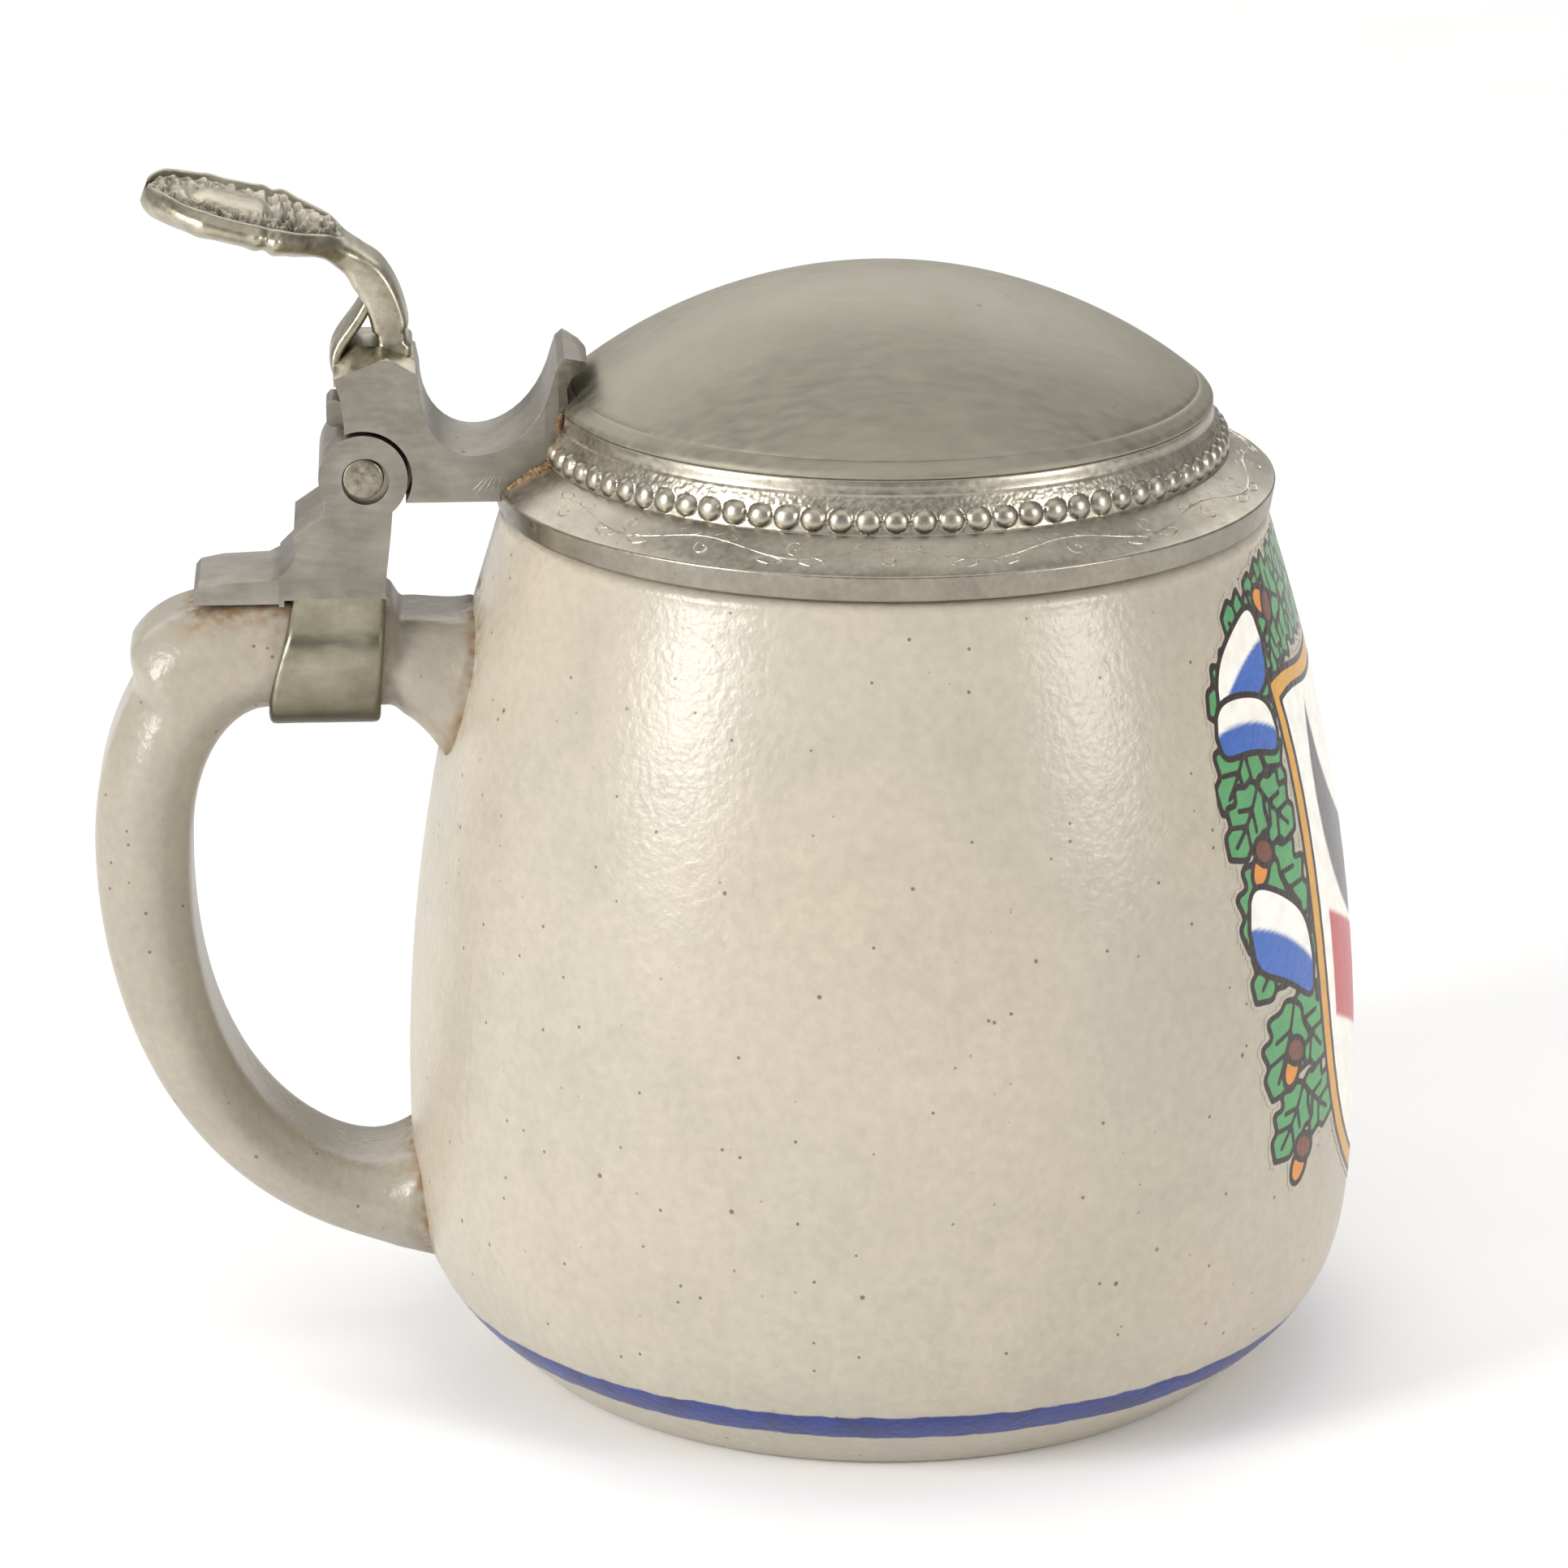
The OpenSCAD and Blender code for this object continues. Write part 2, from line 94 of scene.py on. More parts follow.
def srgb(code):
    """The linear colour of an sRGB hex code: ((c + 0.055) / 1.055) ** 2.4, or c / 12.92 when dark."""
    c = np.array([int(code[i:i + 2], 16) for i in (1, 3, 5)]) / 255
    return tuple(np.where(c > 0.04045, ((c + 0.055) / 1.055) ** 2.4, c / 12.92))


def colour(name, description, code):
    """A colour property whose default is an sRGB hex code."""
    return FloatVectorProperty(name=name, description=description, default=srgb(code), subtype="COLOR",
                               size=3, min=0, max=1)


def in_mm(group):
    """The group's lengths in millimetres and its counts as they are, by name."""
    names = type(group).__annotations__
    values = {name: getattr(group, name) for name in names}
    return SimpleNamespace(**{k: v / MM if isinstance(v, float) else v for k, v in values.items()})


class MugBodySizes(PropertyGroup):
    """Sizes of the stoneware body"""
    belly_r: length("Belly radius", "Largest radius of the body", 55)
    belly_z: length("Belly height", "Height of the widest place", 32)
    foot_r: length("Foot radius", "Radius of the flat foot", 42)
    mouth_r: length("Mouth radius", "Outer radius just under the lip", 43.7)
    wall: length("Wall", "Thickness of the wall", 5.5)
    floor_t: length("Floor", "Thickness of the floor", 7)
    lip_round: length("Lip rounding", "Radius that rounds the lip", 1.6)
    band_low: length("Band foot", "Height of the blue band's lower edge", 5.9)
    band_high: length("Band top", "Height of the blue band's upper edge", 9.6)


class HandleSizes(PropertyGroup):
    """Sizes of the stoneware handle and of the strap round it"""
    grip_half_w: length("Half width", "Half of the handle's width", 9.6)
    grip_t: length("Thickness", "Thickness at the collar", 12.4)
    face_half_w: length("Outer face", "Half of the flat outer face's width", 5.6)
    bevel_h: length("Bevel", "How far the bevel beside the outer face drops", 4.0)
    inner_taper: length("Inner taper", "Thinning on the inner side", 2.8)
    outer_taper: length("Outer taper", "Thinning on the outer side", 1.2)
    neck_dip: length("Neck dip", "Drop of the top between collar and body", 2.2)
    root_z: length("Root height", "Height of the middle line at the lower joint", 18.5)
    root_flare: length("Root flare", "Extra thickness where the handle meets the body", 5)
    rest_rise: length("Thumb rest", "Height of the rest on the outer corner", 2.8)
    strap_t: length("Strap", "Thickness of the strap at the sides and below", 1.2)


class LidSizes(PropertyGroup):
    """Sizes of the pewter lid"""
    flange_w: length("Flange", "Width of the sloping flange", 5.6)
    flange_rise: length("Flange rise", "Height that the flange gains inwards", 3)
    rim_h: length("Rim", "Height of the outer edge", 3)
    wall_lean: length("Wall lean", "How far the beaded wall leans in", 1.6)
    dome_edge_h: length("Dome edge", "Height of the dome's upright edge", 0.7)
    dome_t: length("Dome wall", "Thickness of the domed panel", 1.8)
    bead_r: length("Bead", "Radius of a bead", 1.28)
    line_r: length("Engraved line", "Radius of the line round the dome", 35.45)
    beads: IntProperty(name="Beads", description="Number of beads round the lid", default=80, min=20)


class ThumbliftSizes(PropertyGroup):
    """Sizes of the cast thumblift"""
    leaf_half_w: length("Half width", "Half of the leaf's greatest width", 11.8)
    leaf_t: length("Leaf", "Thickness of the leaf", 3)
    leg_half_w: length("Half leg", "Half of the leg's width", 4.6)
    leg_t: length("Leg", "Thickness of the leg", 3.6)
    rim_w: length("Rolled edge", "Width of the rolled edge", 2.6)


class FinishColours(PropertyGroup):
    """Colours of the finishes"""
    stone: colour("Stoneware", "Main colour of the glazed stoneware", "#ADA696")
    stone_warm: colour("Warm stoneware", "Where the kiln left it warmer", "#B4A998")
    stone_cool: colour("Cool stoneware", "Where the glaze lies thicker", "#A49E8E")
    cobalt: colour("Cobalt", "Blue of the painted foot band", "#14276F")
    rust: colour("Soil", "Brown soil and rust at the joints", "#86694A")
    leaf: colour("Leaf green", "Enamel of the painted leaves", "#55945F")
    outline: colour("Outline", "Dark enamel line", "#2E2522")
    ribbon: colour("Ribbon blue", "Enamel of the ribbon", "#3F63AE")
    white: colour("White", "White enamel", "#EEEAE2")
    gold: colour("Gold", "Border of the shield", "#CC963A")
    acorn: colour("Acorn", "Enamel of the acorns", "#D28639")
    cup: colour("Acorn cup", "Enamel of the cups", "#6E4433")
    slate: colour("Slate", "Crescent on the shield", "#5B5859")
    red: colour("Red", "Chevron on the shield", "#B8474A")


# ---- shared geometry ----

def bezier(controls, t):
    """Points of a Bezier curve: the sum over k of C(n, k) (1 - t)^(n - k) t^k times control k."""
    p = np.asarray(controls, float)
    n = len(p) - 1
    weights = [math.comb(n, k) * (1 - t) ** (n - k) * t ** k for k in range(n + 1)]
    return np.stack(weights, -1) @ p


def ease(x, low, high):
    """Runs smoothly from 0 at low to 1 at high, as 3t^2 - 2t^3."""
    t = np.clip((x - low) / (high - low), 0, 1)
    return t * t * (3 - 2 * t)


def arc(centre, radius, start, end, count):
    """Points on a circle's arc, with angles in degrees."""
    a = np.radians(np.linspace(start, end, count))
    return np.asarray(centre) + radius * np.stack([np.cos(a), np.sin(a)], -1)


def grid_faces(rows, columns, rows_closed=False, columns_closed=True):
    """Quads of a grid in which point (i, j) has the number i * columns + j."""
    i = np.arange(rows if rows_closed else rows - 1)[:, None]
    j = np.arange(columns if columns_closed else columns - 1)[None, :]
    k, m = (i + 1) % rows, (j + 1) % columns
    corners = np.broadcast_arrays(i * columns + j, i * columns + m, k * columns + m, k * columns + j)
    return np.stack(corners, -1).reshape(-1, 4)


def turned(profile, segments):
    """A profile of (radius, height) turned round +Z, as a grid of rows by segments."""
    a = np.linspace(0, TURN, segments, endpoint=False)
    r, z = np.asarray(profile, float).T
    x, y = r[:, None] * np.cos(a), r[:, None] * np.sin(a)
    return np.stack([x, y, np.broadcast_to(z[:, None], x.shape)], -1)


def stacked(parts):
    """One list of points and quads from several pairs of points and quads."""
    points, faces, count = [], [], 0
    for some, quads in parts:
        points.append(some.reshape(-1, 3))
        faces.append(quads + count)
        count += len(points[-1])
    return np.concatenate(points), np.concatenate(faces)


def outward(points, faces):
    """The quads, turned round if the volume that they enclose comes out negative."""
    a, b, c, d = (points[faces[:, k]] for k in range(4))
    volume = (np.cross(a, b) * c).sum() + (np.cross(a, c) * d).sum()
    return faces[:, ::-1] if volume < 0 else faces


def closed_ends(rings):
    """A grid of rings with each end drawn in to one point, the middle of its ring."""
    first, last = rings[0].mean(0), rings[-1].mean(0)
    return np.concatenate([np.broadcast_to(first, (1,) + rings.shape[1:]), rings,
                           np.broadcast_to(last, (1,) + rings.shape[1:])])


def add_piece(name, points, faces, material, body, node=None, sharp=38, marks=None):
    """Makes a closed mesh of quads given in millimetres, and rides it on its body.

    Points that coincide are merged, edges sharper than the angle stay sharp, and marks
    are numbers for each point, which the materials read by name.
    """
    points = np.asarray(points, float).reshape(-1, 3)
    mesh = bpy.data.meshes.new(name)
    mesh.from_pydata((points * MM).tolist(), [], outward(points, faces).tolist())
    for mark, values in (marks or {}).items():
        values = np.asarray(values, np.float32).reshape(len(points), -1)
        if values.shape[1] == 1:
            mesh.attributes.new(mark, "FLOAT", "POINT").data.foreach_set("value", values.ravel())
        else:
            rgba = np.concatenate([values, np.ones_like(values[:, :1])], 1)
            mesh.attributes.new(mark, "FLOAT_COLOR", "POINT").data.foreach_set("color", rgba.ravel())
    mesh.materials.append(material)
    shape = bmesh.new()
    shape.from_mesh(mesh)
    bmesh.ops.remove_doubles(shape, verts=shape.verts, dist=2e-7)
    bmesh.ops.dissolve_degenerate(shape, edges=shape.edges, dist=1e-7)
    shape.to_mesh(mesh)
    shape.free()
    mesh.shade_smooth()
    mesh.set_sharp_from_angle(angle=math.radians(sharp))
    piece = bpy.data.objects.new(name, mesh)
    bpy.context.scene.collection.objects.link(piece)
    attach(piece, body)
    if node:
        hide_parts(node)
    return piece


def worn_copy(node, name, material, width, crest_r=0):
    """A copy of a frame node's mesh, merged, with every sharp edge worn round.

    Its highest edge can be rounded more than the rest, to the radius crest_r.
    """
    source = frame["nodes"][node]
    mesh = source.data.copy()
    mesh.name = name
    mesh.materials.clear()
    mesh.materials.append(material)
    shape = bmesh.new()
    shape.from_mesh(mesh)
    bmesh.ops.remove_doubles(shape, verts=shape.verts, dist=2e-6)
    bmesh.ops.dissolve_limit(shape, angle_limit=math.radians(0.8), verts=shape.verts, edges=shape.edges)
    if crest_r:
        top = max(v.co.z for v in shape.verts) - 0.2 * MM
        crest = [e for e in shape.edges if min(v.co.z for v in e.verts) > top]
        bmesh.ops.bevel(shape, geom=crest, offset=crest_r * MM, segments=5, profile=0.5, affect="EDGES",
                        clamp_overlap=True)
    shape.to_mesh(mesh)
    shape.free()
    mesh.shade_smooth()
    mesh.set_sharp_from_angle(angle=math.radians(30))
    piece = bpy.data.objects.new(name, mesh)
    bpy.context.scene.collection.objects.link(piece)
    bevel = piece.modifiers.new("Worn edges", "BEVEL")
    bevel.width = width * MM
    bevel.segments = 3
    bevel.limit_method = "ANGLE"
    bevel.angle_limit = math.radians(35)
    bevel.harden_normals = False
    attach(piece, source["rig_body"])
    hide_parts(node)
    return piece


# ---- shared shapes of the mug ----

HEEL_OUT = 11
HEEL_UP = 10


def body_height():
    """Height of the body's lip, from the frame."""
    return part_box("mug_body")[1].z / MM


def outer_side(m):
    """The body's outside from the foot to just under the lip, as (radius, height)."""
    lip_z = body_height() - m.lip_round
    heel = bezier([(m.foot_r, 0), (m.foot_r + HEEL_OUT, HEEL_UP), (m.belly_r, HEEL_UP),
                   (m.belly_r, m.belly_z)], np.linspace(0, 1, 44))
    side = bezier([(m.belly_r, m.belly_z), (m.belly_r, (m.belly_z + lip_z) / 2), (m.mouth_r, lip_z)],
                  np.linspace(0, 1, 70))
    return np.concatenate([heel, side[1:]])


def wall_radius(m, z):
    """Outer radius of the body at a height."""
    side = outer_side(m)
    return np.interp(z, side[:, 1], side[:, 0])


def thrown(angle, height):
    """How far the outside falls short of its form: shallow throwing ribs and a slightly oval sway.

    0.008 (1 + sin(2 pi z / 4.3)) + 0.07 (1 - cos 2a) + 0.07, fading to 0 at the foot and the lip.
    """
    ribs = 0.008 * (1 + np.sin(TURN * height / 4.3 + 0.6 * np.sin(angle)))
    sway = 0.07 * (1 - np.cos(2 * angle + 0.9)) + 0.07
    free = ease(height, 3, 12) * (1 - ease(height, body_height() - 6, body_height() - 2))
    return (ribs + sway) * free


def body_profile(m):
    """The whole cut of the body: under the foot, up the outside, over the lip and down the inside."""
    top = body_height()
    lip_z = top - m.lip_round
    side = outer_side(m)
    foot = [(0, 0.5), (m.foot_r - 6.5, 0.5), (m.foot_r - 5.7, 0.1), (m.foot_r - 5.2, 0),
            (m.foot_r - 0.8, 0), (m.foot_r - 0.1, 0.12)]
    inner_top = m.mouth_r - m.wall
    above_belly = side[side[:, 1] > m.belly_z]
    inside = above_belly[::-1] - (m.wall, 0)
    heel = bezier([(m.belly_r - m.wall, m.belly_z), (m.belly_r - m.wall, m.floor_t + 3),
                   (m.foot_r + 3, m.floor_t), (m.foot_r - 8, m.floor_t)], np.linspace(0, 1, 24))
    return np.concatenate([
        foot, side[1:],
        arc((m.mouth_r - m.lip_round, lip_z), m.lip_round, 6, 90, 8),
        arc((inner_top + m.lip_round, lip_z), m.lip_round, 90, 174, 8),
        inside[1:], heel[1:], [(0, m.floor_t)]])


def handle_places(h, m):
    """The ends and pulls of the handle's middle line, from the frame's collar and handle."""
    low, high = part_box("handle_collar")
    grip_z = low.z / MM + h.grip_t / 2 + h.strap_t
    back_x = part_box("handle")[0].x / MM + h.grip_t / 2 - h.outer_taper
    middle_z = (grip_z + h.root_z) / 2
    return SimpleNamespace(
        grip_z=grip_z, middle_z=middle_z, x0=low.x / MM, x1=high.x / MM,
        top_root=np.array([2 - m.mouth_r, grip_z - 2]), neck=np.array([high.x / MM, grip_z]),
        bend=np.array([low.x / MM - 2, grip_z]), back=np.array([back_x, middle_z + 10.1]),
        leave=np.array([-m.belly_r - 3, h.root_z]), low_root=np.array([9 - m.belly_r, h.root_z - 3.2]))


def handle_line(h, m, s):
    """Middle line of the handle at places s from 0 to 59: Bezier stretches end to end."""
    p = handle_places(h, m)
    stretches = [
        (0, 10, [p.top_root, p.top_root + (-7, 0), p.neck + (5, 0), p.neck]),
        (10, 11, [p.neck, p.bend]),
        (11, 29, [p.bend, p.bend + (-8.2, 0), p.back + (0, 14), p.back]),
        (29, 53, [p.back, p.back - (0, 16), p.leave + (-21, 5.5), p.leave]),
        (53, 59, [p.leave, (p.leave + p.low_root) / 2, p.low_root])]
    parts = [bezier(pulls, (s[(s >= start) & (s < end)] - start) / (end - start))
             for start, end, pulls in stretches]
    return np.concatenate(parts + [p.low_root[None, :]])


def soft_outline(q, sides, softness):
    """Distance to a rounded outline in direction q.

    Each side is (outward y, outward z, distance): the distance is the sum over the sides
    that face the direction d of (n . d / distance)^p, to the power -1/p.
    """
    y, z = np.cos(q), np.sin(q)
    total = sum(np.maximum(0, (ny * y + nz * z) / away) ** softness for ny, nz, away in sides)
    return total ** (-1 / softness)


def cut_corner(across, up, far_across, far_up):
    """The side that runs through two corners, given on the right and mirrored to the left."""
    ny, nz = far_up - up, across - far_across
    size = np.hypot(ny, nz)
    ny, nz = -ny / size, -nz / size
    away = ny * across + nz * up
    return [(ny, nz, away), (-ny, nz, away)]


def handle_section(q, half_w, below, above, h):
    """The handle's cut: a flat outer face with bevels, and rounded inner corners."""
    soften = 3.4
    sides = [(1, 0, half_w), (-1, 0, half_w), (0, 1, above), (0, -1, below)]
    sides += cut_corner(h.face_half_w, above, half_w, above - h.bevel_h)
    sides += [(ny, -nz, away) for ny, nz, away in
              cut_corner(half_w - soften, below, half_w, below - soften)]
    return soft_outline(q, sides, 13)


def handle_surface(h, m):
    """The handle as rings of its cut, square to the middle line and let into the body's wall."""
    p = handle_places(h, m)
    s = np.linspace(0, 59, 237)
    line = handle_line(h, m, s)
    along = np.gradient(line, axis=0)
    along /= np.linalg.norm(along, axis=1)[:, None]
    up = np.stack([along[:, 1], -along[:, 0]], -1)
    upper = line[:, 1] > p.middle_z
    away = np.maximum(0, -line[:, 0] - np.where(upper, m.mouth_r + 4.5, m.belly_r + 0.5))
    clear = np.where(upper, ease(line[:, 0], p.x1, p.x1 + 3), 1)
    flare = h.root_flare * clear * np.exp(-away / 3.4)
    below = h.grip_t / 2 - h.inner_taper * ease(s, 26, 50) + flare
    above = (h.grip_t / 2 - h.neck_dip * (1 - ease(s, 9, 10)) - h.outer_taper * ease(s, 12, 22)
             + h.rest_rise * ease(s, 12, 18) * (1 - ease(s, 18.6, 20.4))
             + np.where(upper, 0.3, 0.1) * flare)
    half_w = h.grip_half_w + 0.2 * flare
    q = np.linspace(0, TURN, 80, endpoint=False)
    reach = handle_section(q[None, :], half_w[:, None], below[:, None], above[:, None], h)
    pinch = 1 + 0.006 * np.sin(s / 3.1)[:, None] * np.cos(2 * q)
    y = reach * pinch * np.cos(q)
    rise = reach * pinch * np.sin(q)
    rings = np.stack([line[:, :1] + up[:, :1] * rise, y, line[:, 1:] + up[:, 1:] * rise], -1)
    rings = closed_ends(rings)
    radius = np.hypot(rings[..., 0], rings[..., 1])
    sunk = np.maximum(radius, wall_radius(m, rings[..., 2]) - m.wall / 2) / radius
    rings[..., :2] *= sunk[..., None]
    return rings


def soil_and_painted_shade_beside(distance, reach):
    """Falloff of soil from a joint, and of the painted shade in the lid's bead crease: exp(-distance /
    reach), 1 inside it.
    """
    return np.exp(-np.maximum(0, distance) / reach)


# ---- operators: stoneware ----

class MUG_OT_body(Operator):
    """Turned body, glazed all over, with its blue foot band"""
    bl_idname = "mug.body"
    bl_label = "Mug body"

    def execute(self, context):
        m = in_mm(context.scene.mug_body_sizes)
        h = in_mm(context.scene.mug_handle_sizes)
        profile = body_profile(m)
        grid = turned(profile, 288)
        angle = np.arctan2(grid[..., 1], grid[..., 0])
        height = grid[..., 2]
        grid[..., :2] *= 1 - (thrown(angle, height) / np.maximum(profile[:, :1], 20))[..., None]
        p = handle_places(h, m)
        joints = [(p.grip_z - 2.5, 9.0), (h.root_z - 1.5, 8.0)]
        across = grid[..., 1] / (h.grip_half_w + 1.2)
        soil = sum(soil_and_painted_shade_beside(abs(np.hypot(across, (height - z) / half) - 1), 0.1) for z, half in joints)
        soil = np.where((grid[..., 0] < 0) & (np.hypot(grid[..., 0], grid[..., 1]) > m.mouth_r - 1), soil, 0)
        add_piece("stoneware_body", grid, grid_faces(len(profile), 288),
                  salt_glazed_stoneware(context, "Salt-glazed stoneware body", banded=True),
                  "mug", "mug_body", marks={"soil": np.minimum(soil, 1)})
        return {"FINISHED"}


class MUG_OT_handle(Operator):
    """Pressed loop handle with its thumb rest, luted to the body"""
    bl_idname = "mug.handle"
    bl_label = "Handle"

    def execute(self, context):
        m = in_mm(context.scene.mug_body_sizes)
        h = in_mm(context.scene.mug_handle_sizes)
        p = handle_places(h, m)
        rings = handle_surface(h, m)
        x, y, z = (rings[..., k] for k in range(3))
        wall = soil_and_painted_shade_beside(np.hypot(x, y) - wall_radius(m, z), 1.1)
        tang_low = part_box("shank")[0]
        beyond = np.hypot(np.maximum(0, tang_low.x / MM - x), np.maximum(0, abs(y) - 6.4))
        tang = soil_and_painted_shade_beside(beyond, 1.3) * (x < p.x1) * ease(z, p.grip_z + 1.5, p.grip_z + 4)
        strap = 0.75 * soil_and_painted_shade_beside(abs(x - p.x0), 0.9) + 0.5 * soil_and_painted_shade_beside(abs(x - p.x1), 0.5)
        strap = strap * (z > p.grip_z - h.grip_t)
        soil = np.clip(wall + tang + strap, 0, 1)
        # The handle is the body's stoneware darkened by a shade below 1: painted shade.
        add_piece("stoneware_handle", rings, grid_faces(*rings.shape[:2]),
                  salt_glazed_stoneware(context, "Salt-glazed stoneware handle", banded=False, shade=0.76),
                  "mug", "handle", sharp=45, marks={"soil": soil})
        return {"FINISHED"}


# ---- operators: pewter on the mug ----

class MUG_OT_collar(Operator):
    """Cast pewter strap round the handle, leaning back towards its lower edge"""
    bl_idname = "mug.collar"
    bl_label = "Handle collar"

    def execute(self, context):
        m = in_mm(context.scene.mug_body_sizes)
        h = in_mm(context.scene.mug_handle_sizes)
        p = handle_places(h, m)
        half = h.grip_t / 2
        side = h.grip_half_w + h.strap_t
        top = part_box("handle_collar")[1].z / MM - p.grip_z
        q = np.linspace(0, TURN, 120, endpoint=False)
        inner = handle_section(q, h.grip_half_w + 0.05, half + 0.05, half + 0.05, h)
        outer_sides = [(1, 0, side), (-1, 0, side), (0, 1, top), (0, -1, half + h.strap_t)]
        outer_sides += cut_corner(6.5, top, side, top - 5.3)
        outer_sides += [(ny, -nz, away) for ny, nz, away in
                        cut_corner(side - 2.6, half + h.strap_t, side, half + h.strap_t - 2.6)]
        outer = soft_outline(q, outer_sides, 26)
        lip = 0.3 * ease(-np.sin(q), 0.75, 1)
        shell = np.array([(0.0, 0.0), (0.0, 0.55), (0.012, 0.82), (0.035, 0.96), (0.07, 1.0), (0.2, 1.0),
                          (0.35, 0.99), (0.5, 0.985), (0.65, 0.99), (0.8, 1.0), (0.93, 1.0), (0.965, 0.96),
                          (0.988, 0.82), (1.0, 0.55), (1.0, 0.0), (0.75, -0.01), (0.5, -0.01), (0.25, -0.01)])
        run, depth = shell[:, :1], shell[:, 1:]
        flared = 1 + lip * np.maximum(0, abs(2 * run - 1) - 0.72) * 3.2 * depth / outer
        reach = (inner + depth * (outer - inner)) * flared
        reach = reach + 0.05 * depth * np.sin(3 * q + 5 * run) * np.sin(7 * run + q)
        y, z = reach * np.cos(q), reach * np.sin(q)
        lean = ease(z, top, -half)
        back, front = p.x0 + 0.9 - 2.9 * lean, p.x1 - 0.8 * lean
        x = back + run * (front - back)
        points = np.stack([x, y, p.grip_z + z], -1)
        # Painted shade: the strap is darkened towards its lower side, where less light reaches it.
        tarnish_and_painted_shade = 0.75 * ease(-z, -half * 0.2, half + 1) * np.ones_like(x)
        add_piece("collar_strap", points, grid_faces(len(shell), len(q), rows_closed=True),
                  collar_pewter(context), "mug", "handle_collar", sharp=55,
                  marks={"painted_shade": tarnish_and_painted_shade})
        return {"FINISHED"}


def button(radius, crown, depth):
    """Profile of a plug's domed button: (radius, height), from its foot to the crown."""
    edge = 0.22
    rounding = arc((radius - edge, -edge), edge, 0, 62, 6)
    r = np.linspace(radius - edge - 0.1, 0, 12)
    dome = np.stack([r, crown * (1 - (r / radius) ** 2)], -1)
    return np.concatenate([[(0, -depth), (radius, -depth)], rounding, dome])


class MUG_OT_hinge(Operator):
    """Filed shank with its two rings, and the plugs that close the pin's bore"""
    bl_idname = "mug.hinge"
    bl_label = "Hinge shank, pin and plugs"

    def execute(self, context):
        shank = worn_copy("shank", "hinge_shank", filed_pewter(context, "Filed pewter shank"), 0.28)
        frame["nodes"]["hinge_pin"].data.materials.clear()
        frame["nodes"]["hinge_pin"].data.materials.append(drawn_steel())
        for side, node in ((-1, "pin_plug_front"), (1, "pin_plug_rear")):
            low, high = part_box(node)
            radius = (high.z - low.z) / 2 / MM
            face = abs(low.y if side < 0 else high.y) / MM
            depth = (high.y - low.y) / MM
            grid = turned(button(radius, 0.16, depth), 72)
            dents = 0.02 * np.sin(5 * grid[..., 0] + 2) * np.cos(4 * grid[..., 1])
            out = grid[..., 2] + dents * (grid[..., 2] > -0.2)
            points = np.stack([HINGE[0] + grid[..., 0], side * (face + out), HINGE[2] + grid[..., 1]], -1)
            add_piece(node + "_button", points, grid_faces(*grid.shape[:2]), plug_pewter(context),
                      "mug", node)
        return {"FINISHED"}


# ---- operators: the lid ----

def lid_places(d):
    """Radii and heights of the lid, from the frame and the lid's sizes."""
    low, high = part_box("lid_rim")
    rim_r = high.x / MM
    lid_z = low.z / MM
    flange_in = rim_r - d.flange_w
    seat_r = flange_in - d.wall_lean
    flange_z = lid_z + d.rim_h + d.flange_rise
    seat_z = high.z / MM
    apex_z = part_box("lid_dome")[1].z / MM
    edge_z = seat_z + d.dome_edge_h
    rise = apex_z - edge_z
    sphere_r = (seat_r ** 2 + rise ** 2) / (2 * rise)
    return SimpleNamespace(rim_r=rim_r, lid_z=lid_z, rim_top=lid_z + d.rim_h, flange_in=flange_in,
                           flange_z=flange_z, seat_r=seat_r, seat_z=seat_z, edge_z=edge_z,
                           apex_z=apex_z, sphere_r=sphere_r, bore_r=seat_r - 0.7)


def joined(*parts):
    """Profiles joined end to end, each given as points or as (start, end, count)."""
    rows = []
    for part in parts:
        if isinstance(part, tuple):
            start, end, count = part
            t = np.linspace(0, 1, count)[:, None]
            part = np.asarray(start) * (1 - t) + np.asarray(end) * t
        rows.append(part)
    return np.concatenate(rows)


